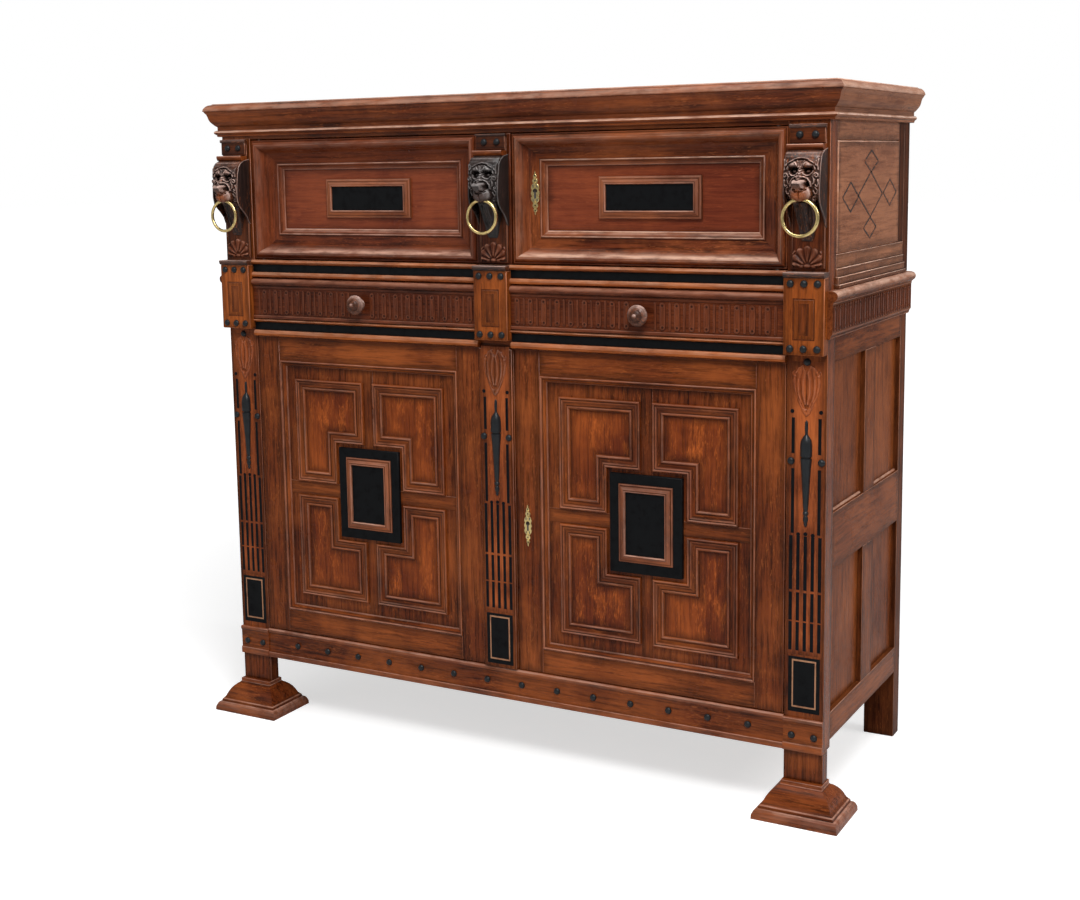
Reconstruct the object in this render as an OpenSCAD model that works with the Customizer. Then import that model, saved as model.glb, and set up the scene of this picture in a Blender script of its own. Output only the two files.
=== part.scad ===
// Court cupboard in two tiers: four doors, two frieze drawers, three lion masks with rings.
// Millimetres. +X is the cupboard's right as seen from the front, the front looks along -Y,
// +Z is up. The origin lies on the floor, in the middle of the whole outline.

/* [Case] */
// Width over the corner posts
case_w = 1524; // [1480:4:1580]
// Depth from the front of the posts to the back of the rear posts
case_d = 572; // [550:2:610]
// Width of a front post, seen from the front
post_w = 85; // [80:1:90]
// Depth of a front post
post_d = 45; // [42:1:50]
// Width of a rear post
rear_w = 71; // [60:1:76]
// Depth of a rear post
rear_d = 43; // [36:1:48]
// Width of the pilasters and of the frieze blocks
pilaster_w = 85; // [82:1:88]

/* [Heights] */
// Height of a front foot
foot_h = 78; // [70:1:88]
// Free leg between the foot and the base rail
leg_h = 66; // [50:2:90]
// Height of the base rail
base_rail_h = 73; // [68:1:84]
// Height of the lower doors
lower_door_h = 738; // [700:2:780]
// Height of the rail under the drawers
low_waist_h = 42; // [38:1:46]
// Height of the drawer fronts
drawer_h = 97; // [90:1:104]
// Height of the rail over the drawers
high_waist_h = 42; // [39:1:46]
// Height of the upper doors
upper_door_h = 284; // [272:2:300]
// Height of the cornice under the crown board
cornice_h = 60; // [56:1:66]
// Thickness of the crown board
crown_t = 18.6; // [16:0.2:22]

/* [Doors] */
// Free line round each door and drawer front
gap = 2; // [2:0.1:2.6]
// Thickness of a lower door frame
lower_door_t = 26; // [24:1:30]
// Thickness of an upper door frame
upper_door_t = 46; // [44:1:50]
// Distance of the pivot pin from the hinge edge of a door
pivot_in = 22; // [21:0.5:24]
// Distance of the pivot pin behind the front plane
pivot_y = 8; // [7.5:0.25:9]
// Radius of a pivot pin
pin_r = 4; // [3:0.25:4.5]
// Radial clearance of a pin in its hole
pin_play = 0.05; // [0.03:0.01:0.09]

/* [Drawers] */
// Depth of a drawer box behind its front
drawer_box_l = 440; // [400:5:460]
// Thickness of the drawer sides
drawer_side_t = 10; // [8:1:12]
// Diameter of a drawer knob
knob_d = 46; // [40:1:50]

/* [Masks and rings] */
// How far the lion's nose stands before the posts
lion_reach = 85; // [83:1:90]
// How far behind the nose the ring hangs in the mouth
ring_back = 30; // [28:1:32]
// Outer diameter of a ring
ring_d = 79; // [74:1:82]
// Thickness of a ring
ring_t = 7.5; // [6.5:0.25:8]

/* [Feet] */
// How far the base of a foot stands out round the leg
foot_out = 50; // [44:1:56]

/* [Hidden] */
half_w = case_w / 2;
post_in = half_w - post_w;
post_x = half_w - post_w / 2;
rear_in = half_w - rear_w;
y_back = case_d;
y_rear = case_d - rear_d;
z_leg = foot_h + leg_h;
z_base = z_leg + base_rail_h;
z_ld0 = z_base + gap;
z_ld1 = z_ld0 + lower_door_h;
z_lw0 = z_ld1 + gap;
z_lw1 = z_lw0 + low_waist_h;
z_dr0 = z_lw1 + gap;
z_dr1 = z_dr0 + drawer_h;
z_hw0 = z_dr1 + gap;
z_hw1 = z_hw0 + high_waist_h;
z_ud0 = z_hw1 + gap;
z_ud1 = z_ud0 + upper_door_h;
z_tr0 = z_ud1 + gap;
z_cor = z_tr0 + 8;
z_crown = z_cor + cornice_h;
z_top = z_crown + crown_t;
// Boards of the case
board_t = 18;
frame_t = 18;
panel_t = 10;
board_x = half_w - frame_t;
inner_w = board_x - panel_t;
back_y = y_rear + 21;
back_t = 12;
rail_d = 25;
// Where the doors meet: the left one carries the middle pilaster
meet_l = pilaster_w / 2;
meet_r = meet_l + gap;
hinge_x = post_in - gap;
door_mid = (meet_r + hinge_x) / 2;
pin_x = hinge_x - pivot_in;
pin_l = 24;
// Whole outline, which places the origin
y_mid = (case_d - lion_reach) / 2;
// Heights that the masks hang from
z_mask1 = z_ud1 - 48;
z_mask0 = z_mask1 - 106;
ring_r = (ring_d - ring_t) / 2;
ring_y = ring_back - lion_reach;
ring_z = z_mask0 + 11;
ring_cz = ring_z - ring_r;
// Colours
c_oak = [0.52, 0.25, 0.11];
c_dark = [0.30, 0.13, 0.07];
c_burl = [0.50, 0.18, 0.08];
c_ebony = [0.05, 0.05, 0.05];
c_inner = [0.45, 0.30, 0.18];
c_brass = [0.72, 0.55, 0.27];
c_iron = [0.18, 0.17, 0.17];

// Box between two corners
module block(lo, hi) {
    translate(lo) cube([hi[0] - lo[0], hi[1] - lo[1], hi[2] - lo[2]]);
}

// Moves a piece from the post plane to the middle of the outline
module place() {
    translate([0, -y_mid, 0]) children();
}

// The same piece on the left and on the right
module both() {
    children();
    mirror([1, 0, 0]) children();
}

// Flat picture frame in the X-Z plane, between two depths
module frame_ring(x0, x1, z0, z1, w, y0, y1) {
    difference() {
        block([x0, y0, z0], [x1, y1, z1]);
        block([x0 + w, y0 - 1, z0 + w], [x1 - w, y1 + 1, z1 - w]);
    }
}

// Round rod along X
module rod_x(x0, x1, y, z, r) {
    translate([x0, y, z]) rotate([0, 90, 0]) cylinder(h = x1 - x0, r = r, $fn = 48);
}

// Round rod along Z
module rod_z(x, y, z0, z1, r) {
    translate([x, y, z0]) cylinder(h = z1 - z0, r = r, $fn = 48);
}

// Round nail head on a front face at depth y
module nail(x, y, z, r) {
    translate([x, y, z]) intersection() {
        translate([0, r * 0.35, 0]) sphere(r = r, $fn = 24);
        translate([-r, -r, -r]) cube([2 * r, r, 2 * r]);
    }
}

// Outline of the two sockets in which a door turns, for one side
module pin_holes(z0, z1) {
    for (z = [z0, z1])
        rod_z(pin_x, pivot_y, z - pin_l / 2 - pin_play, z + pin_l / 2 + pin_play, pin_r + pin_play);
}

/* Case */

module front_posts() color(c_oak) place() both() {
    block([post_in, 0, z_leg], [half_w, post_d, z_crown]);
    block([post_in, 0, foot_h], [half_w, post_d * 0.66, z_leg]);
}

// One tier of a foot, standing out by q round the leg
module foot_tier(q, z0, z1) {
    block([post_in - q, -10 - q, z0], [half_w + q, 35 + q, z1]);
}

module feet() color(c_oak) place() both() {
    s = foot_out / 50;
    foot_tier(50 * s, 0, 8);
    hull() {
        foot_tier(49.5 * s, 8, 9);
        foot_tier(46 * s, 18, 19);
    }
    foot_tier(37 * s, 19, 27);
    hull() {
        foot_tier(32 * s, 27, 34);
        foot_tier(26 * s, 45, 46);
        foot_tier(16 * s, 58, 59);
        foot_tier(2, 68, 69);
    }
    foot_tier(2, 69, foot_h);
}

module rear_posts() color(c_dark) place() both()
    block([rear_in, y_rear, 0], [half_w, y_back, z_crown]);

module base_rail() color(c_oak) place() difference() {
    union() {
        block([-post_in, -2, z_leg], [post_in, rail_d, z_base]);
        rod_x(-post_in, post_in, 0, z_base - 6, 5);
        block([-post_in, -6, z_leg], [post_in, -2, z_leg + 12]);
    }
    both() pin_holes(z_base + gap / 2, z_base + gap / 2);
}

module base_blocks() color(c_oak) place() both() {
    block([post_in, -5, z_leg], [half_w, 0, z_base - 3]);
    block([post_in, -8, z_leg], [half_w, -5, z_leg + 16]);
    block([post_in, -8, z_base - 9], [half_w, -5, z_base - 3]);
}

// Side frame of the case: rails, muntin and the waist part behind the frieze
side_m0 = 260;
side_m1 = 335;
side_z1 = z_ld0 + 308;
side_z2 = side_z1 + 119;
side_z3 = z_ld1 + 1;
side_z4 = z_ud0 + 29;
side_z5 = z_ud1 - 29;
side_m2 = y_rear - 43;
panel_sink = 10;

module side_frames() color(c_oak) place() both() {
    difference() {
        block([half_w - frame_t, post_d, z_leg + 16], [half_w, y_rear, z_hw1 - 38]);
        for (y = [[post_d - 1, side_m0], [side_m1, y_rear + 1]]) {
            block([half_w - frame_t - 1, y[0], z_ld0 + 1], [half_w + 1, y[1], side_z1]);
            block([half_w - frame_t - 1, y[0], side_z2], [half_w + 1, y[1], side_z3]);
        }
    }
    for (s = [[38, 30, 8], [30, 15, 5], [15, -2, 2]])
        block([half_w - frame_t, post_d, z_hw1 - s[0]], [half_w + s[2], y_rear, z_hw1 - s[1]]);
    difference() {
        block([half_w - frame_t, post_d, z_hw1], [half_w, y_rear, z_crown]);
        block([half_w - frame_t - 1, post_d - 1, side_z4], [half_w + 1, side_m2, side_z5]);
    }
}

module side_panels() color(c_burl) place() both() {
    for (y = [[post_d, side_m0 + 20], [side_m1 - 20, y_rear]])
        for (z = [[z_base, side_z1 + 20], [side_z2 - 20, side_z3 + 10]])
            block([inner_w, y[0], z[0]], [half_w - frame_t, y[1], z[1]]);
    for (y = [[post_d + 2, side_m0 - 2], [side_m1 + 2, y_rear - 2]])
        for (z = [[z_ld0 + 3, side_z1 - 2], [side_z2 + 2, side_z3 - 2]])
            block([half_w - frame_t - 1, y[0], z[0]], [half_w - panel_sink, y[1], z[1]]);
    block([inner_w, post_d, side_z4 - 20], [half_w - frame_t, y_rear, side_z5 + 20]);
    block([half_w - frame_t - 1, post_d + 2, side_z4 + 2], [half_w - 1.5, side_m2 - 2, side_z5 - 2]);
}

// Carved frieze on the side, with its torus on top
module side_friezes() color(c_oak) place() both() {
    z0 = z_lw1 + 7;
    block([half_w, -6, z0], [half_w + 6, y_back, z_dr1 + 5]);
    block([half_w + 6, -8, z0 + 11], [half_w + 11, y_back, z0 + 74]);
    translate([half_w + 11, -8, z_dr1 - 7]) rotate([-90, 0, 0])
        cylinder(h = y_back + 8, r = 9, $fn = 48);
    block([half_w, -6, z_dr1 - 2], [half_w + 11, y_back, z_dr1 + 5]);
}

// Moulded rail between two blocks: two rounded lips with a dark flat between them
module waist_rail(z0, z1, lip) {
    block([-post_in, 0, z0], [post_in, rail_d, z1]);
    both() {
        block([meet_l, -5, z0 + lip], [post_in, 0, z1 - lip]);
        block([meet_l, -9, z1 - lip], [post_in, 0, z1]);
        rod_x(meet_l, post_in, -9, z1 - lip / 2, lip / 2);
        block([meet_l, -9, z0], [post_in, 0, z0 + lip]);
        rod_x(meet_l, post_in, -9, z0 + lip / 2, lip / 2);
    }
}

module low_waist_rail() color(c_oak) place() difference() {
    waist_rail(z_lw0, z_lw1, 10);
    both() pin_holes(z_lw0 - gap / 2, z_lw0 - gap / 2);
}

module high_waist_rail() color(c_oak) place() difference() {
    waist_rail(z_hw0, z_hw1, 11);
    both() pin_holes(z_hw1 + gap / 2, z_hw1 + gap / 2);
}

// Block before a post or the middle, with a dark ledge on top
module frieze_block(x) {
    block([x - pilaster_w / 2, -26, z_lw0 + 18], [x + pilaster_w / 2, 0, z_hw1 - 12]);
    block([x - pilaster_w / 2, -31, z_hw1 - 12], [x + pilaster_w / 2, 0, z_hw1 - 2]);
}

block_x = post_in + pilaster_w / 2;

module frieze_blocks() color(c_oak) place() {
    for (x = [-block_x, block_x])
        frieze_block(x);
    frieze_block(0);
}

// Level board of the case: between the side frames, notched round the posts
module case_board(z0, z1) {
    block([-board_x, post_d, z0], [board_x, y_rear, z1]);
    block([-post_in, rail_d, z0], [post_in, back_y, z1]);
}

module bottom_board() color(c_inner) place() case_board(z_base - board_t, z_base);

module dust_board() color(c_inner) place() case_board(z_lw1 - board_t, z_lw1);

module upper_floor() color(c_inner) place() case_board(z_hw1 - board_t, z_hw1);

module ceiling_board() color(c_inner) place() difference() {
    case_board(z_tr0 + 17, z_tr0 + 17 + board_t);
    block([-post_in, rail_d - 1, z_tr0 + 16], [post_in, post_d + 1, z_tr0 + 18 + board_t]);
}

shelf_rise = 60;
shelf_in = 25;
cleat_w = 22;
cleat_h = 24;
shelf_z = side_z1 + shelf_rise;

module shelf() color(c_inner) place()
    block([-board_x, post_d + shelf_in, shelf_z], [board_x, y_rear, shelf_z + board_t]);

module shelf_cleats() color(c_inner) place() both()
    block([board_x - cleat_w, post_d + shelf_in + 5, shelf_z - cleat_h], [board_x, y_rear, shelf_z]);

// Guides between which the drawers slide: two in the middle and one at each side
module drawer_guides() color(c_inner) place() both() {
    block([meet_r - 18, rail_d, z_lw1], [meet_r, back_y, z_hw1 - board_t]);
    block([post_in - 8, post_d, z_lw1], [board_x, y_rear, z_dr1 - 12]);
}

// Seven upright back boards behind the case
module back_boards() color(c_inner) place() {
    n = 7;
    w = 2 * rear_in / n;
    for (i = [0:n - 1])
        block([-rear_in + i * w + 0.3, back_y, z_leg + 16],
            [-rear_in + (i + 1) * w - 0.3, back_y + back_t, z_crown]);
}

module top_rail() color(c_oak) place() difference() {
    block([-post_in, 0, z_tr0], [post_in, post_d, z_crown]);
    both() pin_holes(z_tr0 - gap / 2, z_tr0 - gap / 2);
}

// Height at which the cornice section is drawn, and how far its stick runs past the case
drawn_h = 60;
past = 60;

// Section of the cornice: q outward, z up from its foot
function cornice_line(s, h) = [[0, 0], [10, 0], [10, 5], [14, 9], [15.5, 10.5], [14, 12], [9, 15],
    [9, 23], [13, 27], [21.5 * s, 36.5 * h], [24.5 * s, 44 * h], [27.5 * s, 54 * h],
    [31 * s, drawn_h * h], [0, drawn_h * h]];

// Front and sides of the cornice, mitred where they meet
module cornice_front() color(c_oak) place() intersection() {
    translate([-half_w - past, 0, z_cor]) rotate([90, 0, 90])
        linear_extrude(height = case_w + 2 * past)
            polygon([for (p = cornice_line(1, cornice_h / drawn_h)) [-p[0] * 0.86, p[1]]]);
    translate([0, 0, z_cor - 1]) linear_extrude(height = cornice_h + 2)
        polygon([[-half_w, 1], [half_w, 1], [half_w, 0], [half_w + 40, -40 * 0.86],
            [-half_w - 40, -40 * 0.86], [-half_w, 0]]);
}

module cornice_sides() color(c_oak) place() both() intersection() {
    translate([half_w, y_back, z_cor]) rotate([90, 0, 0])
        linear_extrude(height = y_back + past)
            polygon([for (p = cornice_line(1, cornice_h / drawn_h)) [p[0], p[1]]]);
    translate([0, 0, z_cor - 1]) linear_extrude(height = cornice_h + 2)
        polygon([[half_w - 1, y_back + 1], [half_w - 1, 0], [half_w, 0],
            [half_w + 40, -40 * 0.86], [half_w + 40, y_back + 1]]);
}

module crown_slice(q, z) {
    block([-half_w - q, -q * 0.86, z], [half_w + q, y_back, z + 0.2]);
}

module crown_board() color(c_oak) place() hull() {
    crown_slice(33.5, z_crown);
    crown_slice(33.5, z_crown + 2.5);
    crown_slice(31, z_crown + crown_t * 0.5);
    crown_slice(25, z_crown + crown_t * 0.8);
    crown_slice(17, z_top - 0.2);
}

/* Pilasters, masks and carvings */

pil_w = pilaster_w - 13;
pil_t = 6;

// Flat applied board with a leaf carving below, a ledge and a nail panel above
module upper_pilaster_at(x) {
    translate([x, 0, 0]) {
        block([-pil_w / 2, -pil_t, z_ud0 + 2], [pil_w / 2, 0, z_ud1]);
        block([-pil_w / 2 - 1, -24, z_mask1], [pil_w / 2 + 1, -pil_t, z_mask1 + 12]);
        block([-pil_w / 2, -12, z_mask1 + 12], [pil_w / 2, -pil_t, z_ud1]);
        translate([0, -pil_t, z_ud0 + 5]) rotate([90, 0, 0])
            linear_extrude(height = 9)
                polygon([[-20, 0], [20, 0], [28, 12], [28, 34], [20, 47], [-20, 47],
                    [-28, 34], [-28, 12]]);
    }
}

module upper_pilasters() color(c_oak) place() {
    upper_pilaster_at(-post_x);
    upper_pilaster_at(post_x);
}

// Half the height of the open mouth, and the ring's play in the web that carries it
mouth = 8.5;
ring_play = 0.3;

module ball(p, r) {
    translate(p) scale(r) sphere(r = 1, $fn = 32);
}

// Lion's mask on its bracket, with an open mouth that the ring hangs through
module lion_at(x) {
    w = pilaster_w / 2 - 2.5;
    n = lion_reach;
    translate([x, -pil_t, 0]) difference() {
        union() {
            block([-w, -34, z_mask0 + 30], [w, 0, z_mask1]);
            translate([-w * 0.62, 0, 0]) rotate([90, 0, 90]) linear_extrude(height = w * 1.24)
                polygon([[0, z_mask0 - 76], [-14, z_mask0 - 64], [-30, z_mask0 - 22],
                    [-40, z_mask0 - 2], [-40, z_mask0 + 60], [0, z_mask0 + 60]]);
            intersection() {
                union() {
                    ball([0, -34, z_mask0 + 64], [w, 36, 44]);
                    ball([0, -46, z_mask0 + 80], [w * 0.72, 26, 24]);
                    ball([0, pil_t + 21 - n, z_mask0 + 30], [18, 21, 16]);
                    ball([0, pil_t + 27 - n, z_mask0 + 2], [13, 15, 9]);
                    block([-10, -62, z_mask0 - 7], [10, -30, z_mask0 + 40]);
                }
                block([-w, pil_t - n, z_mask0 - 8], [w, 0, z_mask1]);
            }
        }
        translate([-50, ring_y + pil_t - mouth, ring_z - mouth])
            cube([100, 2 * mouth, 2 * mouth]);
    }
    translate([x, ring_y, ring_z]) difference() {
        block([-3, -mouth, -mouth - 1], [3, mouth, mouth + 1]);
        rod_x(-4, 4, 0, 0, ring_t / 2 + ring_play);
    }
}

module side_lions() color(c_dark) place() {
    lion_at(-post_x);
    lion_at(post_x);
}

// Turned spindle, split in half, standing proud of a flat face
module spindle(z0, z1) {
    h = z1 - z0;
    intersection() {
        translate([0, 0, z0]) rotate_extrude($fn = 48) polygon([[0, 0], [3, 0.01 * h], [5, 0.06 * h],
            [4, 0.09 * h], [7, 0.11 * h], [4, 0.14 * h], [6, 0.2 * h], [9, 0.4 * h], [12, 0.58 * h],
            [7, 0.62 * h], [10, 0.65 * h], [12, 0.7 * h], [11, 0.78 * h], [4, 0.86 * h],
            [2.5, 0.98 * h], [0, h]]);
        translate([-20, -20, z0 - 1]) cube([40, 20, h + 2]);
    }
}

// Carved tulip above a spindle
module tulip(z0, z1) {
    h = z1 - z0;
    rotate([90, 0, 0]) linear_extrude(height = 7)
        polygon([[0, z0], [18, z0 + 0.12 * h], [30, z0 + 0.38 * h], [32, z0 + 0.72 * h],
            [20, z1], [-20, z1], [-32, z0 + 0.72 * h], [-30, z0 + 0.38 * h],
            [-18, z0 + 0.12 * h]]);
}

z_tul1 = z_ld1 - 10;
z_tul0 = z_tul1 - 94;
z_spin0 = z_ld0 + 403;
z_spin1 = z_tul0 - 10;

module post_carvings() color(c_ebony) place() for (x = [-post_x, post_x]) translate([x, 0, 0]) {
    spindle(z_spin0, z_spin1);
    tulip(z_tul0, z_tul1);
}

module lower_pilaster() color(c_oak) place() difference() {
    union() {
        block([-meet_l, -9, z_ld0], [meet_l, 0, z_ld1]);
        translate([0, -9, 0]) spindle(z_spin0, z_spin1);
        translate([0, -9, 0]) tulip(z_tul0, z_tul1);
    }
    frame_ring(-30, 30, z_ld0 + 10, z_ld0 + 126, 4, -10, -8);
}

module upper_pilaster() color(c_oak) place() upper_pilaster_at(0);

module middle_lion() color(c_dark) place() lion_at(0);

// Nail heads: along the base rail, on its end blocks and on the frieze blocks
module case_nails() color(c_ebony) place() {
    n = 14;
    for (i = [0:n - 1])
        nail(-0.77 * half_w + i * 1.555 * half_w / (n - 1), -2, z_leg + 38, 5);
    for (x = [-24, 24], s = [-1, 1])
        nail(s * (post_x + x), -5, z_leg + 33, 5);
    for (x = [-block_x, 0, block_x], d = [-27, 0, 27]) {
        nail(x + d, -26, z_hw1 - 24, 6);
        nail(x + d, -26, z_lw0 + 31, 6);
    }
    for (x = [-post_x, post_x], d = [-16, 16])
        nail(x + d, -12, z_ud1 - 18, 5);
}

// Eight iron pins, a top and a bottom one for each door
module pivot_pins() color(c_iron) place() both()
    for (z = [z_base + gap / 2, z_lw0 - gap / 2, z_hw1 + gap / 2, z_tr0 - gap / 2])
        rod_z(pin_x, pivot_y, z - pin_l / 2, z + pin_l / 2, pin_r);

/* Lower doors, drawn for the right side */

lower_in_x0 = meet_r + 62.5;
lower_in_x1 = hinge_x - 63;
lower_in_z0 = z_ld0 + 56;
lower_in_z1 = z_ld1 - 57;
l_mid_x = (lower_in_x0 + lower_in_x1) / 2;
l_mid_z = (lower_in_z0 + lower_in_z1) / 2;

// Frame of stiles and rails from x0 to the hinge edge, with its pin holes
module lower_frame(x0) {
    difference() {
        block([x0, 0, z_ld0], [hinge_x, lower_door_t, z_ld1]);
        block([lower_in_x0, -1, lower_in_z0], [lower_in_x1, lower_door_t + 1, lower_in_z1]);
        pin_holes(z_base + gap / 2, z_lw0 - gap / 2);
    }
}

// One of the four panels round the middle: an L of moulding
module l_panel(sx, sz) {
    x0 = 14;
    x1 = (lower_in_x1 - lower_in_x0) / 2 - 41;
    z0 = 17;
    z1 = (lower_in_z1 - lower_in_z0) / 2 - 46;
    cx = 85;
    cz = 112;
    translate([l_mid_x, 6, l_mid_z]) scale([sx, 1, sz]) rotate([-90, 0, 0]) mirror([0, 1, 0])
        linear_extrude(height = 6) difference() {
            polygon([[cx + 9, z0], [x1, z0], [x1, z1], [x0, z1], [x0, cz + 9], [cx + 9, cz + 9]]);
            polygon([[cx + 20, z0 + 11], [x1 - 11, z0 + 11], [x1 - 11, z1 - 11],
                [x0 + 11, z1 - 11], [x0 + 11, cz + 20], [cx + 20, cz + 20]]);
        }
}

module lower_panel() {
    block([lower_in_x0, 12, lower_in_z0], [lower_in_x1, 22, lower_in_z1]);
    frame_ring(lower_in_x0, lower_in_x1, lower_in_z0, lower_in_z1, 12, 3, 12);
    for (sx = [-1, 1], sz = [-1, 1])
        l_panel(sx, sz);
}

// Middle block with a raised frame round an ebony tablet
module lower_plaque() {
    block([l_mid_x - 85, 4, l_mid_z - 110], [l_mid_x + 85, 12, l_mid_z + 110]);
    frame_ring(l_mid_x - 63.5, l_mid_x + 63.5, l_mid_z - 86, l_mid_z + 86, 19, -3, 4);
    block([l_mid_x - 43, 0, l_mid_z - 66.5], [l_mid_x + 43, 4, l_mid_z + 66.5]);
}

module lower_right_frame() color(c_oak) place() lower_frame(meet_r);
module lower_right_panel() color(c_burl) place() lower_panel();
module lower_right_plaque() color(c_ebony) place() lower_plaque();
module lower_left_frame() color(c_oak) place() mirror([1, 0, 0]) lower_frame(-meet_l);
module lower_left_panel() color(c_burl) place() mirror([1, 0, 0]) lower_panel();
module lower_left_plaque() color(c_ebony) place() mirror([1, 0, 0]) lower_plaque();

/* Upper doors, drawn for the right side */

band_w = 31;
upper_in = 57;
upper_flat_y = 24;
upper_panel_y = 38;
u_x0 = meet_r + upper_in;
u_x1 = hinge_x - upper_in;
u_z0 = z_ud0 + upper_in;
u_z1 = z_ud1 - upper_in;
u_mid_z = (u_z0 + u_z1) / 2;

// Deep frame: a round moulding near its edge, then a sunk flat
module upper_frame(x0) {
    c = 23.5;
    difference() {
        union() {
            frame_ring(meet_r, hinge_x, z_ud0, z_ud1, band_w, 2, upper_door_t);
            frame_ring(meet_r + 1, hinge_x - 1, z_ud0 + 1, z_ud1 - 1, upper_in - 1,
                upper_flat_y, upper_door_t);
            rod_x(meet_r + c, hinge_x - c, 4.5, z_ud0 + c, 7.5);
            rod_x(meet_r + c, hinge_x - c, 4.5, z_ud1 - c, 7.5);
            rod_z(meet_r + c, 4.5, z_ud0 + c, z_ud1 - c, 7.5);
            rod_z(hinge_x - c, 4.5, z_ud0 + c, z_ud1 - c, 7.5);
            if (x0 < meet_r)
                block([x0, 0, z_ud0], [meet_r, upper_door_t, z_ud1]);
        }
        pin_holes(z_hw1 + gap / 2, z_tr0 - gap / 2);
    }
}

module upper_panel() {
    block([u_x0, upper_panel_y, u_z0], [u_x1, upper_door_t, u_z1]);
    frame_ring(u_x0, u_x1, u_z0, u_z1, 7, upper_flat_y, upper_panel_y);
}

module upper_plaque() {
    x0 = door_mid - 114.5;
    x1 = door_mid + 114.5;
    frame_ring(x0, x1, u_mid_z - 42, u_mid_z + 42, 13, upper_panel_y - 12, upper_panel_y);
    block([x0 + 13, upper_panel_y - 8, u_mid_z - 29], [x1 - 13, upper_panel_y, u_mid_z + 29]);
}

module upper_right_frame() color(c_oak) place() upper_frame(meet_r);
module upper_right_panel() color(c_burl) place() upper_panel();
module upper_right_plaque() color(c_ebony) place() upper_plaque();
module upper_left_frame() color(c_oak) place() mirror([1, 0, 0]) upper_frame(-meet_l);
module upper_left_panel() color(c_burl) place() mirror([1, 0, 0]) upper_panel();
module upper_left_plaque() color(c_ebony) place() mirror([1, 0, 0]) upper_plaque();

/* Locks, bolts and plates */

lower_key_x = meet_r + 28.5;
lower_key_z = l_mid_z - 29;
upper_key_x = meet_r + 45;
upper_key_z = u_mid_z + 12;

// Shaped brass plate with a keyhole, its back on a face at depth y
module key_plate(x, y, z, h) {
    translate([x, y, z]) rotate([90, 0, 0]) linear_extrude(height = 2) difference() {
        polygon([[0, -h / 2], [5, -h * 0.42], [3.5, -h * 0.36], [9, -h * 0.27], [7, -h * 0.2],
            [10, -h * 0.1], [10, h * 0.12], [7, h * 0.2], [9, h * 0.27], [3.5, h * 0.36],
            [5, h * 0.42], [0, h / 2], [-5, h * 0.42], [-3.5, h * 0.36], [-9, h * 0.27],
            [-7, h * 0.2], [-10, h * 0.12], [-10, -h * 0.1], [-7, -h * 0.2], [-9, -h * 0.27],
            [-3.5, -h * 0.36], [-5, -h * 0.42]]);
        translate([0, h * 0.06]) circle(r = 3.4, $fn = 24);
        translate([-1.5, -h * 0.1]) square([3, h * 0.16]);
    }
}

module lower_escutcheon() color(c_brass) place() key_plate(lower_key_x, 0, lower_key_z, 98);
module upper_escutcheon() color(c_brass) place()
    key_plate(upper_key_x, upper_flat_y, upper_key_z, 100);

lock_play = 0.3;
bolt_throw = 22;

// Lock case behind a door, open at its meeting side for the bolt
module lock_case(y, z) {
    x0 = meet_r + 8;
    difference() {
        block([x0, y, z - 34], [x0 + 74, y + 15, z + 34]);
        block([x0 - 1, y + 3, z - 10], [x0 + 56, y + 12, z + 10]);
    }
}

module lock_bolt(y, z) {
    x0 = meet_r + 8;
    block([x0, y + 3 + lock_play, z - 10 + lock_play],
        [x0 + 50, y + 12 - lock_play, z + 10 - lock_play]);
}

module lower_lock() color(c_iron) place() lock_case(lower_door_t, lower_key_z);
module lower_lock_bolt() color(c_iron) place() lock_bolt(lower_door_t, lower_key_z);
module upper_lock() color(c_iron) place() lock_case(upper_door_t, upper_key_z);
module upper_lock_bolt() color(c_iron) place() lock_bolt(upper_door_t, upper_key_z);

bar_x = -16;

// Two staples in which an upright bolt slides
module keepers(y, z1, l) {
    for (z = [z1 - 34, z1 - l + 14])
        difference() {
            block([bar_x - 12, y, z], [bar_x + 12, y + 14, z + 14]);
            block([bar_x - 7, y - 1, z - 1], [bar_x + 7, y + 11, z + 15]);
        }
}

module bar_bolt(y, z1, l) {
    block([bar_x - 6.5, y + 0.4, z1 - 3 - l], [bar_x + 6.5, y + 10.5, z1 - 3]);
    translate([bar_x, y + 10.5, z1 - l / 2 - 10]) rotate([-90, 0, 0])
        cylinder(h = 12, r = 5, $fn = 32);
}

module lower_left_keepers() color(c_iron) place() keepers(lower_door_t, z_ld1, 150);
module lower_left_bolt() color(c_iron) place() bar_bolt(lower_door_t, z_ld1, 150);
module upper_left_keepers() color(c_iron) place() keepers(upper_door_t, z_ud1, 120);
module upper_left_bolt() color(c_iron) place() bar_bolt(upper_door_t, z_ud1, 120);

/* Drawers */

// Front with a torus along its top and a plain field below, before an open box of four boards
module drawer() {
    x0 = meet_r;
    x1 = hinge_x;
    f = 12;
    bx0 = meet_r + 1.5;
    bx1 = post_in - 8 - 1.5;
    t = drawer_side_t;
    z0 = z_lw1;
    z1 = z_dr1 - 14;
    block([x0, -11, z_dr0], [x1, f, z_dr1]);
    block([x0, -14, z_dr0], [x1, -11, z_dr0 + 7]);
    rod_x(x0, x1, -11, z_dr1 - 10, 8);
    j = 0.1;
    bottom_t = 10;
    y1 = f + drawer_box_l;
    block([bx0, f + j, z0], [bx0 + t, y1, z1]);
    block([bx1 - t, f + j, z0], [bx1, y1, z1]);
    block([bx0 + t + j, y1 - t, z0], [bx1 - t - j, y1, z1]);
    block([bx0 + t + j, f + j, z0], [bx1 - t - j, y1 - t - j, z0 + bottom_t]);
}

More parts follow.
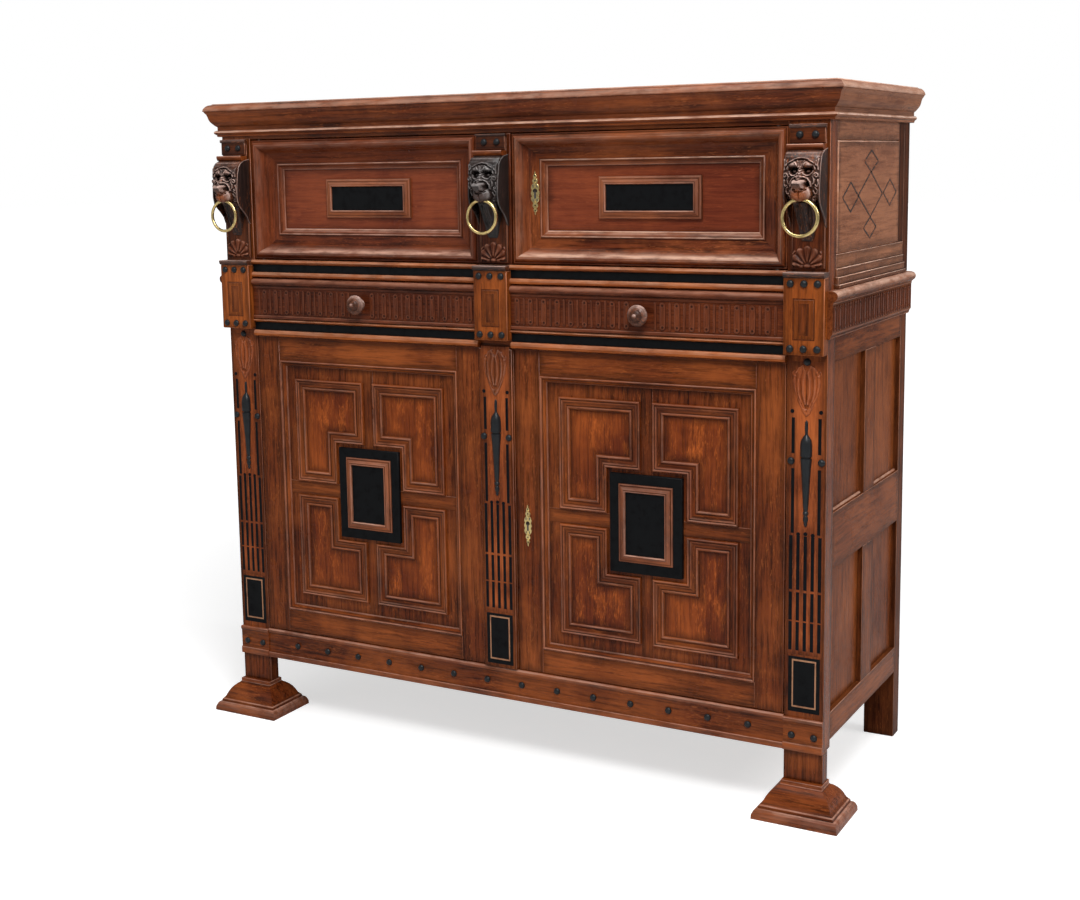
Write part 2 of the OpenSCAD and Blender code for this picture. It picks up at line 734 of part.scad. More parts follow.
module knob() {
    s = knob_d / 46;
    translate([door_mid, -11, z_dr0 + 42]) rotate([90, 0, 0])
        rotate_extrude($fn = 48) polygon([[0, 0], [13 * s, 0], [13 * s, 3], [8 * s, 7], [8 * s, 11],
            [19 * s, 16], [23 * s, 22], [22 * s, 28], [15 * s, 34], [10 * s, 36], [7 * s, 39],
            [0, 41]]);
}

module right_drawer() color(c_oak) place() drawer();
module left_drawer() color(c_oak) place() mirror([1, 0, 0]) drawer();
module right_knob() color(c_dark) place() knob();
module left_knob() color(c_dark) place() mirror([1, 0, 0]) knob();

/* Rings */

module ring_at(x) {
    translate([x, ring_y, ring_cz]) rotate([90, 0, 0]) rotate_extrude($fn = 96)
        translate([ring_r, 0]) circle(r = ring_t / 2, $fn = 32);
}

module left_ring() color(c_brass) place() ring_at(-post_x);
module middle_ring() color(c_brass) place() ring_at(0);
module right_ring() color(c_brass) place() ring_at(post_x);

front_posts();
feet();
rear_posts();
base_rail();
base_blocks();
side_frames();
side_panels();
side_friezes();
low_waist_rail();
high_waist_rail();
frieze_blocks();
bottom_board();
shelf();
shelf_cleats();
dust_board();
upper_floor();
drawer_guides();
back_boards();
top_rail();
ceiling_board();
cornice_front();
cornice_sides();
crown_board();
upper_pilasters();
side_lions();
post_carvings();
case_nails();
pivot_pins();
lower_left_frame();
lower_left_panel();
lower_left_plaque();
lower_pilaster();
lower_left_keepers();
lower_left_bolt();
lower_right_frame();
lower_right_panel();
lower_right_plaque();
lower_escutcheon();
lower_lock();
lower_lock_bolt();
upper_left_frame();
upper_left_panel();
upper_left_plaque();
upper_pilaster();
middle_lion();
upper_left_keepers();
upper_left_bolt();
upper_right_frame();
upper_right_panel();
upper_right_plaque();
upper_escutcheon();
upper_lock();
upper_lock_bolt();
left_drawer();
right_drawer();
left_knob();
right_knob();
left_ring();
middle_ring();
right_ring();
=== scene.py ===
# %% [markdown]
# # A two-tier court cupboard
# The cupboard is joined from oak boards: posts, rails, framed doors and a deep cornice. The solids
# of the case are already there as a fixed frame, so this lesson dresses them: every visible board
# gets eased edges, every moulding its real section, and the carving, inlay and brass are added.
# Lengths are written in millimetres from the plane of the front posts, as a joiner would.

# %% Start from the fixed frame
import itertools
import math
import bmesh
import bpy
import numpy as np
from mathutils import Matrix, Vector


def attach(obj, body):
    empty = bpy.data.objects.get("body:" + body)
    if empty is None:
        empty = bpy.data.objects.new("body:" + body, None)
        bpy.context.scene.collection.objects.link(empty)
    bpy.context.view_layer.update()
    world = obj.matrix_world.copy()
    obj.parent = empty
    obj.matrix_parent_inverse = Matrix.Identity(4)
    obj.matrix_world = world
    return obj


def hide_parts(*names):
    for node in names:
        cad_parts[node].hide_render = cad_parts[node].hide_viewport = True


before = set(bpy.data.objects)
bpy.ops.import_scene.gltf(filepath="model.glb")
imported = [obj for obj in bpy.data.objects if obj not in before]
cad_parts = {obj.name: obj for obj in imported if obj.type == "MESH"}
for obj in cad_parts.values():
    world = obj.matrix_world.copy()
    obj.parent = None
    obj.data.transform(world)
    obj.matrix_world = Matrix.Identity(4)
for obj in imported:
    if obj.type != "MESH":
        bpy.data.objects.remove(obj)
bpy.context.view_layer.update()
bpy.context.scene.view_settings.view_transform = "Standard"
POST_PLANE = -243.5
METRE = 1000
TINY = 1e-6
print("frame holds", len(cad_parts), "nodes")


def at(x, y, z):
    return (x / METRE, (y + POST_PLANE) / METRE, z / METRE)


def add_object(name, data):
    made = bpy.data.objects.new(name, data)
    bpy.context.scene.collection.objects.link(made)
    return made


def turned(degrees):
    """The cosine and the sine of an angle, as a draughtsman steps round a circle."""
    return math.cos(math.radians(degrees)), math.sin(math.radians(degrees))


# %% [markdown]
# ## The camera
# The picture was taken from the cupboard's right, a little above its middle. The position and the
# lens were worked out from the edges of the case. A long lens keeps the uprights almost parallel,
# and a small shift puts the frame where the photographer cropped it.

# %% Camera
PHOTO_WIDE, PHOTO_TALL, SENSOR = 1080, 900, 36


def place_camera():
    yaw, pitch, roll = 0.5175336, 0.1453026, -0.0173618
    focal, centre_x, centre_y = 1541.496, 509.505, 386.101
    ahead = Vector((-math.sin(yaw) * math.cos(pitch), math.cos(yaw) * math.cos(pitch),
                    -math.sin(pitch)))
    right = Vector((math.cos(yaw), math.sin(yaw), 0))
    up = right.cross(ahead)
    side = right * math.cos(roll) + up * math.sin(roll)
    top = up * math.cos(roll) - right * math.sin(roll)
    data = bpy.data.cameras.new("camera")
    camera = add_object("camera", data)
    camera.rotation_mode = "QUATERNION"
    camera.rotation_quaternion = Matrix((side, top, -ahead)).transposed().to_quaternion()
    camera.location = at(1716.485, -2960.721, 1371.594)
    data.sensor_width = SENSOR
    data.lens = focal * SENSOR / PHOTO_WIDE
    data.shift_x = (PHOTO_WIDE / 2 - centre_x) / PHOTO_WIDE
    data.shift_y = (centre_y - PHOTO_TALL / 2) / PHOTO_WIDE
    bpy.context.scene.camera = camera
    return camera


camera = place_camera()
print("camera stands at", [round(v, 3) for v in camera.location])

# %% [markdown]
# ## Stock: how pieces are cut
# Joined furniture is boards and mouldings, so two helpers make nearly everything. `board` cuts a
# plank with eased edges, and `run_moulding` pushes a section along a path with mitred corners.
# Each face also notes which way its grain runs and how light its board is, because real planks
# differ from one another, and one number that a material reads as wear with a painted highlight
# above zero and as dirt with painted shade below zero.

# %% Stock
FAR_FROM_EDGE = (1.0, 1.0, 1.0, 1.0)
CORNERS = list(itertools.product((0, 1), repeat=3))
SQUARE = ((0, 0), (1, 0), (1, 1), (0, 1))


class Stock:
    def __init__(self):
        self.points, self.faces, self.margins = [], [], []
        self.along, self.wear, self.tone, self.coat = [], [], [], []

    def add(self, points, faces, along=2, wear=0.0, tone=0.5, coat=0, margins=None):
        base, margins = len(self.points), margins or {}
        self.points += [tuple(p) for p in points]
        self.faces += [tuple(base + i for i in face) for face in faces]
        for i, face in enumerate(faces):
            self.margins += margins.get(i, [FAR_FROM_EDGE] * len(face))
        for store, value in ((self.along, along), (self.wear, wear), (self.tone, tone),
                             (self.coat, coat)):
            store += list(value) if isinstance(value, (list, tuple)) else [value] * len(faces)


def skin(layers, n, loop=False):
    """Faces between layers of n points each; a loop also joins the last layer to the first."""
    return [[k * n + i, k * n + (i + 1) % n, (k + 1) % layers * n + (i + 1) % n,
             (k + 1) % layers * n + i]
            for k in range(layers if loop else layers - 1) for i in range(n)]


# %% [markdown]
# A board is a box whose six faces stop short of the arrises, with a narrow strip along each arris
# between them that takes wear and a painted highlight. Each face corner also notes how far it lies
# from the four edges, so that dirt and painted shade can gather there. Boards whose tone isn't
# given take one by chance, from a fixed seed.

# %% Board
chance = np.random.default_rng(7)


def any_tone():
    return float(chance.uniform(0.2, 0.8))


def corner_key(axis, side, u, v):
    key = [u, v]
    key.insert(axis, side)
    return tuple(key)


def board(stock, lo, hi, along=2, ease=1.0, tone=None, coat=0, worn=0.5, face=0.0, no_margin_darkening=False):
    tone = any_tone() if tone is None else tone
    points, index = [], {}
    for key in CORNERS:
        for face_axis in range(3):
            index[key, face_axis] = len(points)
            points.append([(lo, hi)[key[a]][a] + (0 if a == face_axis else (ease, -ease)[key[a]])
                           for a in range(3)])
    faces, wear, margins = [], [], {}
    for axis in range(3):
        b, c = [a for a in range(3) if a != axis]
        wide, tall = (hi[b] - lo[b]) / METRE, (hi[c] - lo[c]) / METRE
        for side in (0, 1):
            margins[len(faces)] = [(u * wide, (1 - u) * wide, v * tall, (1 - v) * tall)
                                   for u, v in SQUARE]
            faces.append([index[corner_key(axis, side, u, v), axis] for u, v in SQUARE])
            wear.append(face)
        for u, v in itertools.product((0, 1), repeat=2):
            one, two = corner_key(axis, 0, u, v), corner_key(axis, 1, u, v)
            faces.append([index[one, b], index[two, b], index[two, c], index[one, c]])
            wear.append(worn)
    faces += [[index[key, a] for a in range(3)] for key in CORNERS]
    wear += [worn] * len(CORNERS)
    stock.add(points, faces, along, wear, tone, coat, None if no_margin_darkening else margins)


# %% [markdown]
# A moulding is planed as one long stick and mitred round a frame. The section is a list of points:
# how far inward, how deep, and one number for the strip: wear with a painted highlight above zero,
# dirt with painted shade below it. `front` lays it in the front plane, `plan` lays it level, as
# round a foot or a cornice.

# %% Moulding
def front(u, v, depth):
    return (u, depth, v)


def plan(u, v, height):
    return (u, v, height)


def run_moulding(stock, path, section, lay=front, closed=True, tone=None, coat=0, along=None,
                 shade_and_dirt_from=None):
    n, m = len(path), len(section)
    edges = n if closed else n - 1
    ways = []
    for i in range(edges):
        a, b = path[i], path[(i + 1) % n]
        length = math.dist(a, b)
        ways.append(((b[0] - a[0]) / length, (b[1] - a[1]) / length))
    points = []
    for i, corner in enumerate(path):
        before = ways[i - 1] if closed or i > 0 else None
        after = ways[i % edges] if closed or i < n - 1 else None
        normals = [(-way[1], way[0]) for way in (before, after) if way]
        if len(normals) == 2 and math.dist(*normals) < TINY:
            normals.pop()
        across = [sum(k[axis] for k in normals) for axis in (0, 1)]
        points += [lay(corner[0] + s[0] * across[0], corner[1] + s[0] * across[1], s[1])
                   for s in section]
    faces, grain, wear, tones, coats, margins = [], [], [], [], [], {}
    each = coat if isinstance(coat, list) else [coat] * edges
    for i in range(edges):
        j = (i + 1) % n
        own = any_tone() if tone is None else tone
        way = lay(*ways[i], 0)
        run = along if along is not None else max(range(3), key=lambda a: abs(way[a]))
        for k in range(m):
            l = (k + 1) % m
            if shade_and_dirt_from is not None:
                margins[len(faces)] = [(max(section[c][0] - shade_and_dirt_from, 0) / METRE,) * 4
                                       for c in (k, k, l, l)]
            faces.append([i * m + k, j * m + k, j * m + l, i * m + l])
            wear.append(section[k][2] if len(section[k]) > 2 else 0.0)
        grain += [run] * m
        tones += [own] * m
        coats += [each[i]] * m
    if not closed:
        faces += [[i * m + k for k in range(m)] for i in (0, n - 1)]
        grain += [grain[0]] * 2
        wear += [0.0] * 2
        tones += [0.3] * 2
        coats += [each[0]] * 2
    stock.add(points, faces, grain, wear, tones, coats, margins)


def stick(stock, x0, x1, section, y=0, **more):
    """A straight length of moulding from x0 to x1."""
    run_moulding(stock, [(x0, y), (x1, y)], section, lay=plan, closed=False, **more)


def rect(x0, x1, z0, z1):
    return [(x0, z0), (x1, z0), (x1, z1), (x0, z1)]


def bead(depth, height, reach, tall, angles):
    """Points of a rounded bead, all with the same wear and painted highlight."""
    return [(depth - reach * turned(a)[1], height - tall * turned(a)[0], 0.85) for a in angles]


# %% [markdown]
# Knobs and spindles are turned on a lathe, which in a model is a line spun round an axis. A split
# spindle is only the front half, so the spin may stop half way.

# %% Lathe
def turn_on_lathe(stock, line, centre, axis, sides=32, half=False, tone=0.5, coat=0):
    n = sides // 2 + 1 if half else sides
    points, faces, wear = [], [], []
    for r, h, *_ in line:
        for i in range(n):
            a = math.pi + math.pi * 2 * i / sides
            u, v = r * math.cos(a), r * math.sin(a)
            offset = (u, -h, v) if axis == 1 else (u, v, h)
            points.append([c + d for c, d in zip(centre, offset)])
    for k in range(len(line) - 1):
        faces += [[k * n + i, k * n + (i + 1) % n, (k + 1) * n + (i + 1) % n, (k + 1) * n + i]
                  for i in range(n - 1 if half else n)]
        wear += [line[k][2] if len(line[k]) > 2 else 0.0] * (n - 1 if half else n)
        if half:
            faces.append([k * n, (k + 1) * n - 1, (k + 2) * n - 1, (k + 1) * n])
            wear.append(0.0)
    for k in (0, len(line) - 1):
        if line[k][0] > TINY:
            faces.append(range(k * n, (k + 1) * n))
            wear.append(0.0)
    stock.add(points, faces, axis, wear, tone, coat)


# %% [markdown]
# A finished piece becomes a mesh at the origin with its notes kept as attributes. Faces are turned
# outward here, and only edges sharper than a soft round stay crisp.

# %% Finish a piece
HIGHLIGHT_RIGHT, WEAR_AND_HIGHLIGHT_TOP, LEAST_WEAR_SHARE = 0.25, 0.95, 0.08


def wear_and_highlight_by_facing(mesh, level):
    """Pale wear is kept most on faces that look up and a little on those that look right, where
    the lamps strike, so it is partly wear and partly a painted highlight.
    """
    facing, wear = np.zeros((len(mesh.polygons), 3)), np.zeros(len(mesh.polygons))
    mesh.polygons.foreach_get("normal", facing.ravel())
    notes = mesh.attributes["wear"].data
    notes.foreach_get("value", wear)
    highlight_share = np.clip(level + WEAR_AND_HIGHLIGHT_TOP * facing[:, 2] + HIGHLIGHT_RIGHT * facing[:, 0], LEAST_WEAR_SHARE, 1)
    notes.foreach_set("value", np.where(wear > 0, wear * highlight_share, wear))


def write_notes(mesh, stock):
    for label, values in (("along", stock.along), ("wear", stock.wear), ("tone", stock.tone)):
        mesh.attributes.new(label, "FLOAT", "FACE").data.foreach_set("value", values)
    margins = mesh.attributes.new("margins", "FLOAT_COLOR", "CORNER")
    margins.data.foreach_set("color", [v for corner in stock.margins for v in corner])


def cut_mesh(name, stock, place=at, soft=40):
    mesh = bpy.data.meshes.new(name)
    mesh.from_pydata([place(*p) for p in stock.points], [], stock.faces)
    write_notes(mesh, stock)
    mesh.polygons.foreach_set("material_index", stock.coat)
    work = bmesh.new()
    work.from_mesh(mesh)
    bmesh.ops.remove_doubles(work, verts=work.verts, dist=TINY)
    bmesh.ops.recalc_face_normals(work, faces=work.faces)
    work.to_mesh(mesh)
    work.free()
    mesh.shade_smooth()
    mesh.set_sharp_from_angle(angle=math.radians(soft))
    return mesh


def assemble(name, stock, finishes, body, stands_for=(), slot="oak", soft=40, level=0.25):
    mesh = cut_mesh(name, stock, soft=soft)
    wear_and_highlight_by_facing(mesh, level)
    for finish in finishes:
        mesh.materials.append(finish)
    dress(add_object(name, mesh), body, stands_for)


def dress(made, body, stands_for=()):
    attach(made, body)
    if stands_for:
        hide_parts(*stands_for)
    print(f"{made.name}: {len(made.data.polygons)} faces, rides on {body}")


# %% [markdown]
# ## Finishes
# Old waxed oak has long dark pores, broad patches where hands and sun have lightened it, dirt with
# painted shade in every hollow, and pale worn arrises with a painted highlight. One node group
# mixes all of that, so every kind of oak here is the same group with other colours. The grain
# direction comes from each face's note.

# %% Small helpers for node trees
def wire(tree, source, target):
    tree.links.new(source, target)


def step(tree, kind, **settings):
    made = tree.nodes.new(kind)
    for key, value in settings.items():
        setattr(made, key, value)
    return made


def set_inputs(sockets, values):
    for label, value in values.items():
        sockets[label].default_value = (*value, 1) if isinstance(value, tuple) else value


def fill(tree, sockets, values):
    """Joins each value that is a socket, and sets each one that is a number or a colour."""
    for socket, value in zip(sockets, values):
        if isinstance(value, bpy.types.NodeSocket):
            wire(tree, value, socket)
        else:
            socket.default_value = (*value, 1) if isinstance(value, tuple) else value


def sums(tree, operation, *values, clamp=False):
    made = step(tree, "ShaderNodeMath", operation=operation, use_clamp=clamp)
    fill(tree, made.inputs, values)
    return made.outputs[0]


def times(tree, a, b, plus=None, clamp=False):
    """a times b, plus a third value if there is one."""
    if plus is None:
        return sums(tree, "MULTIPLY", a, b, clamp=clamp)
    return sums(tree, "MULTIPLY_ADD", a, b, plus, clamp=clamp)


def blend_colours(tree, amount, a, b):
    made = step(tree, "ShaderNodeMix", data_type="RGBA")
    fill(tree, (made.inputs[0], made.inputs[6], made.inputs[7]), (amount, a, b))
    return made.outputs[2]


def spread(tree, value, low, high, to_low=0.0, to_high=1.0):
    made = step(tree, "ShaderNodeMapRange", interpolation_type="SMOOTHSTEP")
    fill(tree, made.inputs, (value, low, high, to_low, to_high))
    return made.outputs[0]


def cloud(tree, vector, scale, detail=2.0, rough=0.5, warp=0.0):
    made = step(tree, "ShaderNodeTexNoise")
    wire(tree, vector, made.inputs["Vector"])
    set_inputs(made.inputs, {"Scale": scale, "Detail": detail, "Roughness": rough,
                             "Distortion": warp})
    return made.outputs[0]


def new_group(name, ins, outs, kind="ShaderNodeTree"):
    tree = bpy.data.node_groups.new(name, kind)
    for label, holds, *value in ins:
        socket = tree.interface.new_socket(label, in_out="INPUT", socket_type="NodeSocket" + holds)
        if value:
            socket.default_value = value[0]
    for label, holds in outs:
        tree.interface.new_socket(label, in_out="OUTPUT", socket_type="NodeSocket" + holds)
    return tree, step(tree, "NodeGroupInput").outputs, step(tree, "NodeGroupOutput").inputs


# %% [markdown]
# ### Grain coordinates
# Grain is a pattern stretched along the board. The group squeezes the coordinate that runs along
# the board, whichever of the three it is, and slides every board to its own part of the pattern.

# %% Grain coordinates
def make_grain_coordinates():
    tree, given, result = new_group(
        "board grain", [("Place", "Vector"), ("Along", "Float", 2.0), ("Tone", "Float", 0.5),
                        ("Squeeze", "Float", 0.06)], [("Vector", "Vector")])
    parts = step(tree, "ShaderNodeSeparateXYZ")
    joined = step(tree, "ShaderNodeCombineXYZ")
    wire(tree, given["Place"], parts.inputs[0])
    slide = times(tree, given["Tone"], 7.3)
    for axis in range(3):
        gap = sums(tree, "ABSOLUTE", sums(tree, "SUBTRACT", given["Along"], float(axis)))
        here = sums(tree, "LESS_THAN", gap, 0.5)
        keep = sums(tree, "SUBTRACT", 1.0, given["Squeeze"])
        factor = sums(tree, "SUBTRACT", 1.0, times(tree, here, keep))
        wire(tree, times(tree, parts.outputs[axis], factor, slide), joined.inputs[axis])
    wire(tree, joined.outputs[0], result["Vector"])
    return tree


grain_coordinates = make_grain_coordinates()

# %% [markdown]
# ### The wood itself
# Four layers: slow patches of light and dark, long streaks, fine dark pores, and the pale flecks
# that a quartered oak board shows. Then dirt with painted shade darkens hollows and margins, and
# wear with a painted highlight lightens arrises.

# %% Old wood
def make_old_wood():
    tree, given, result = new_group(
        "old waxed wood",
        [("Place", "Vector"), ("Along", "Float", 2.0), ("Tone", "Float", 0.5),
         ("Wear", "Float", 0.0), ("Margin", "Float", 1.0),
         ("Dark", "Color", (0.03, 0.01, 0.005, 1)), ("Middle", "Color", (0.12, 0.04, 0.015, 1)),
         ("Light", "Color", (0.3, 0.11, 0.03, 1)), ("Worn", "Color", (0.4, 0.22, 0.14, 1)),
         ("Figure", "Float", 0.3), ("Patches", "Float", 0.5)],
        [("Colour", "Color"), ("Roughness", "Float"), ("Height", "Float")])

    def grain(squeeze):
        held = step(tree, "ShaderNodeGroup", node_tree=grain_coordinates)
        held.inputs["Squeeze"].default_value = squeeze
        for label in ("Place", "Along", "Tone"):
            wire(tree, given[label], held.inputs[label])
        return held.outputs[0]

    blotch = grain(0.3)
    streak = cloud(tree, grain(0.06), 150, 6, 0.66, 0.35)
    pore = cloud(tree, grain(0.03), 800, 3, 0.6)
    patch = cloud(tree, given["Place"], 4.2, 4, 0.6, 0.4)
    spots = cloud(tree, blotch, 30, 4, 0.62, 0.5)
    fleck = cloud(tree, grain(0.16), 330, 3, 0.55, 1.2)
    # Streaks between the dark and the middle colour, then patches and rays of the light one
    streaks = spread(tree, streak, 0.33, 0.6)
    base = blend_colours(tree, streaks, given["Dark"], given["Middle"])
    patches = spread(tree, patch, 0.36, 0.68)
    own = times(tree, given["Tone"], 0.55, -0.2)
    lift = sums(tree, "ADD", times(tree, patches, given["Patches"]), own, clamp=True)
    lift = times(tree, lift, times(tree, streaks, 0.45, 0.55))
    base = blend_colours(tree, lift, base, given["Light"])
    rays = times(tree, spread(tree, fleck, 0.55, 0.68), spread(tree, spots, 0.35, 0.6))
    base = blend_colours(tree, times(tree, rays, 0.55), base, given["Light"])
    figure = times(tree, spread(tree, spots, 0.46, 0.74), given["Figure"])
    figure = times(tree, figure, spread(tree, fleck, 0.45, 0.6, 0.35, 1.0))
    base = blend_colours(tree, figure, base, given["Light"])
    pores = spread(tree, pore, 0.56, 0.7)
    base = blend_colours(tree, times(tree, pores, 0.6), base, given["Dark"])
    # Dirt and painted shade on margins and hollows, wear and painted highlight on the arrises
    near = sums(tree, "ADD", given["Margin"], times(tree, spots, -0.034, 0.030))
    grime_and_shade = times(tree, spread(tree, near, 0.010, 0.034, 1.0, 0.0), 0.55)
    base = blend_colours(tree, grime_and_shade, base, (0.012, 0.0035, 0.0015))
    rub_and_light = spread(tree, cloud(tree, blotch, 70, 3, 0.6), 0.3, 0.65, 0.35, 1.0)
    worn = times(tree, sums(tree, "MAXIMUM", given["Wear"], 0.0), rub_and_light, clamp=True)
    dirt_and_shade = times(tree, sums(tree, "MINIMUM", given["Wear"], 0.0), -1.0, clamp=True)
    base = blend_colours(tree, worn, base, given["Worn"])
    base = blend_colours(tree, times(tree, dirt_and_shade, 0.85), base, (0.008, 0.004, 0.003))
    wire(tree, base, result["Colour"])
    rough = times(tree, dirt_and_shade, 0.3, times(tree, patches, -0.06, 0.28))
    wire(tree, times(tree, pores, 0.16, rough), result["Roughness"])
    wire(tree, times(tree, pores, -0.6, times(tree, streak, 0.5)), result["Height"])
    return tree


old_wood = make_old_wood()


# %% [markdown]
# Every finish is a material that reads one of the shared groups, sets its colours and bends its
# surface a little by the group's height. The woods also read the notes of each face: which way
# it runs, how light its board is, how worn it is with its painted highlight and shade, and how
# near its edges are. A solid that has no notes is told its one grain direction instead, by `run`.

# %% Wood finishes
def new_finish(name, shared, bump, depth):
    finish = bpy.data.materials.new(name)
    finish.use_nodes = True
    tree = finish.node_tree
    shader = tree.nodes["Principled BSDF"].inputs
    group = step(tree, "ShaderNodeGroup", node_tree=shared)
    relief = step(tree, "ShaderNodeBump")
    set_inputs(relief.inputs, {"Strength": bump, "Distance": depth})
    place = step(tree, "ShaderNodeTexCoord")
    wire(tree, place.outputs["Object"], group.inputs["Place"])
    wire(tree, group.outputs["Height"], relief.inputs["Height"])
    for output, target in ((group.outputs["Colour"], "Base Color"), (relief.outputs[0], "Normal"),
                           (group.outputs["Roughness"], "Roughness")):
        wire(tree, output, shader[target])
    return finish, group.inputs, shader


def read_notes(tree, labels, sockets):
    for label in labels:
        note = step(tree, "ShaderNodeAttribute", attribute_name=label)
        wire(tree, note.outputs["Fac"], sockets[label.capitalize()])


def wood_finish(name, dark, middle, light, worn, figure=0.3, patches=0.5, gloss=0.0, run=None,
                shine=0.1):
    finish, given, shader = new_finish(name, old_wood, 0.3, 0.0006)
    tree = finish.node_tree
    if run is None:
        read_notes(tree, ("along", "tone", "wear"), given)
        edges = step(tree, "ShaderNodeAttribute", attribute_name="margins")
        parts = step(tree, "ShaderNodeSeparateColor")
        wire(tree, edges.outputs["Color"], parts.inputs[0])
        nearest = parts.outputs[0]
        for other in (parts.outputs[1], parts.outputs[2], edges.outputs["Alpha"]):
            nearest = sums(tree, "MINIMUM", nearest, other)
        wire(tree, nearest, given["Margin"])
    else:
        given["Along"].default_value = run
    set_inputs(given, {"Dark": dark, "Middle": middle, "Light": light, "Worn": worn,
                       "Figure": figure, "Patches": patches})
    set_inputs(shader, {"Coat Weight": gloss, "Coat Roughness": 0.25, "Specular IOR Level": shine})
    return finish


# The fourth colour of each wood is the pale of worn arrises, lifted towards pink as a painted
# highlight.
oak = wood_finish("waxed oak", (0.024, 0.0042, 0.0014), (0.150, 0.0295, 0.0072),
                  (0.40, 0.103, 0.0230), (0.60, 0.33, 0.24), patches=0.62, gloss=0.04)
golden_oak = wood_finish("golden oak", (0.050, 0.0085, 0.0018), (0.19, 0.039, 0.0078),
                         (0.46, 0.115, 0.021), (0.62, 0.33, 0.21), patches=0.7, gloss=0.04)
inlaid_oak = wood_finish("inlaid oak", (0.040, 0.0068, 0.0024), (0.155, 0.029, 0.0085),
                         (0.52, 0.130, 0.034), (0.55, 0.27, 0.18), figure=0.4, patches=0.75,
                         gloss=0.04)
# A darker copy of the frame oak: painted shade for the left upper door.
left_oak_in_shade = wood_finish("dark red oak in painted shade", (0.018, 0.0030, 0.0013), (0.092, 0.0165, 0.0054),
                       (0.28, 0.064, 0.018), (0.60, 0.34, 0.25), patches=0.5, gloss=0.05)
frame_oak = wood_finish("deep red oak", (0.022, 0.0038, 0.0016), (0.125, 0.0250, 0.0080),
                        (0.37, 0.098, 0.0270), (0.66, 0.40, 0.29), patches=0.6, gloss=0.05)
red_panel = wood_finish("figured red panel", (0.046, 0.0070, 0.0030), (0.112, 0.0180, 0.0058),
                        (0.54, 0.125, 0.022), (0.55, 0.27, 0.16), figure=0.95, patches=0.45,
                        gloss=0.04)
smooth_panel = wood_finish("smooth red panel", (0.105, 0.0185, 0.0080), (0.165, 0.0325, 0.0125),
                           (0.30, 0.068, 0.023), (0.55, 0.27, 0.18), figure=0.1, patches=0.7,
                           gloss=0.05)
carved_oak = wood_finish("carved oak", (0.024, 0.0045, 0.0019), (0.095, 0.0195, 0.0066),
                         (0.22, 0.052, 0.0160), (0.34, 0.15, 0.095), gloss=0.04)
plaque_oak = wood_finish("plaque moulding", (0.034, 0.0070, 0.0030), (0.125, 0.031, 0.0130),
                         (0.36, 0.105, 0.038), (0.62, 0.36, 0.27), patches=0.7, gloss=0.05)
lion_wood = wood_finish("lion wood", (0.011, 0.0060, 0.0050), (0.042, 0.0200, 0.0155),
                        (0.60, 0.165, 0.050), (0.66, 0.45, 0.38), figure=0.1, patches=0.2,
                        gloss=0.08, shine=0.2)
black_lion_wood = wood_finish("black lion wood", (0.0060, 0.0055, 0.0055), (0.018, 0.0155, 0.0150),
                              (0.11, 0.060, 0.048), (0.30, 0.27, 0.26), figure=0.1, gloss=0.12,
                              shine=0.3)
side_oak = wood_finish("side oak", (0.050, 0.0105, 0.0036), (0.165, 0.041, 0.0125),
                       (0.38, 0.106, 0.027), (0.62, 0.38, 0.28), figure=0.2, gloss=0.02,
                       shine=0.03)
# Paler than the side oak: a painted sheen of the light on the upper sides and the cornice ends.
side_oak_with_sheen = wood_finish("side oak with painted sheen", (0.150, 0.0470, 0.0205), (0.280, 0.105, 0.052),
                        (0.46, 0.185, 0.085), (0.72, 0.47, 0.36), figure=0.15, gloss=0.02,
                        shine=0.05)
INNER_OAK = ((0.12, 0.06, 0.03), (0.22, 0.12, 0.06), (0.32, 0.19, 0.10), (0.4, 0.3, 0.2))
drawer_wood = wood_finish("drawer boards", *INNER_OAK, figure=0.1)
plain_boards = wood_finish("plain inner boards", *INNER_OAK, figure=0.1, run=0)
plain_planks = wood_finish("plain upright boards", (0.10, 0.05, 0.025), (0.19, 0.10, 0.05),
                           (0.29, 0.17, 0.09), (0.4, 0.3, 0.2), figure=0.1, run=2)
plain_runners = wood_finish("plain runners", (0.11, 0.055, 0.028), (0.20, 0.11, 0.055),
                            (0.30, 0.18, 0.10), (0.4, 0.3, 0.2), figure=0.1, run=1)
print("oak finishes made")

# %% [markdown]
# ### Ebony, iron and brass
# Ebony is almost black with a cold sheen and very fine pores. The iron of the locks is dark and
# uneven. The brass has a yellow polish that has dulled in its hollows.

# %% Ebony, iron and brass
def make_tarnish():
    tree, given, result = new_group(
        "tarnish", [("Place", "Vector"), ("Wear", "Float", 0.0),
                    ("Bright", "Color", (0.5, 0.5, 0.5, 1)), ("Dull", "Color", (0.1, 0.1, 0.1, 1)),
                    ("Smooth", "Float", 0.25)],
        [("Colour", "Color"), ("Roughness", "Float"), ("Height", "Float")])
    broad = cloud(tree, given["Place"], 60, 4, 0.6)
    fine = cloud(tree, given["Place"], 700, 3, 0.6)
    # Wear brightens the brass; kept most on faces that look up and right, it is partly a painted
    # highlight.
    dull = sums(tree, "SUBTRACT", spread(tree, broad, 0.45, 0.7), given["Wear"], clamp=True)
    wire(tree, blend_colours(tree, dull, given["Bright"], given["Dull"]), result["Colour"])
    rough = times(tree, fine, 0.12, times(tree, dull, 0.2, given["Smooth"]))
    wire(tree, rough, result["Roughness"])
    wire(tree, fine, result["Height"])
    return tree


tarnish = make_tarnish()


def plain_finish(name, bright, dull, smooth, metal=0.0, shine=0.4):
    finish, given, shader = new_finish(name, tarnish, 0.1, 0.0004)
    read_notes(finish.node_tree, ["wear"], given)
    set_inputs(given, {"Bright": bright, "Dull": dull, "Smooth": smooth})
    set_inputs(shader, {"Metallic": metal, "Specular IOR Level": shine})
    return finish


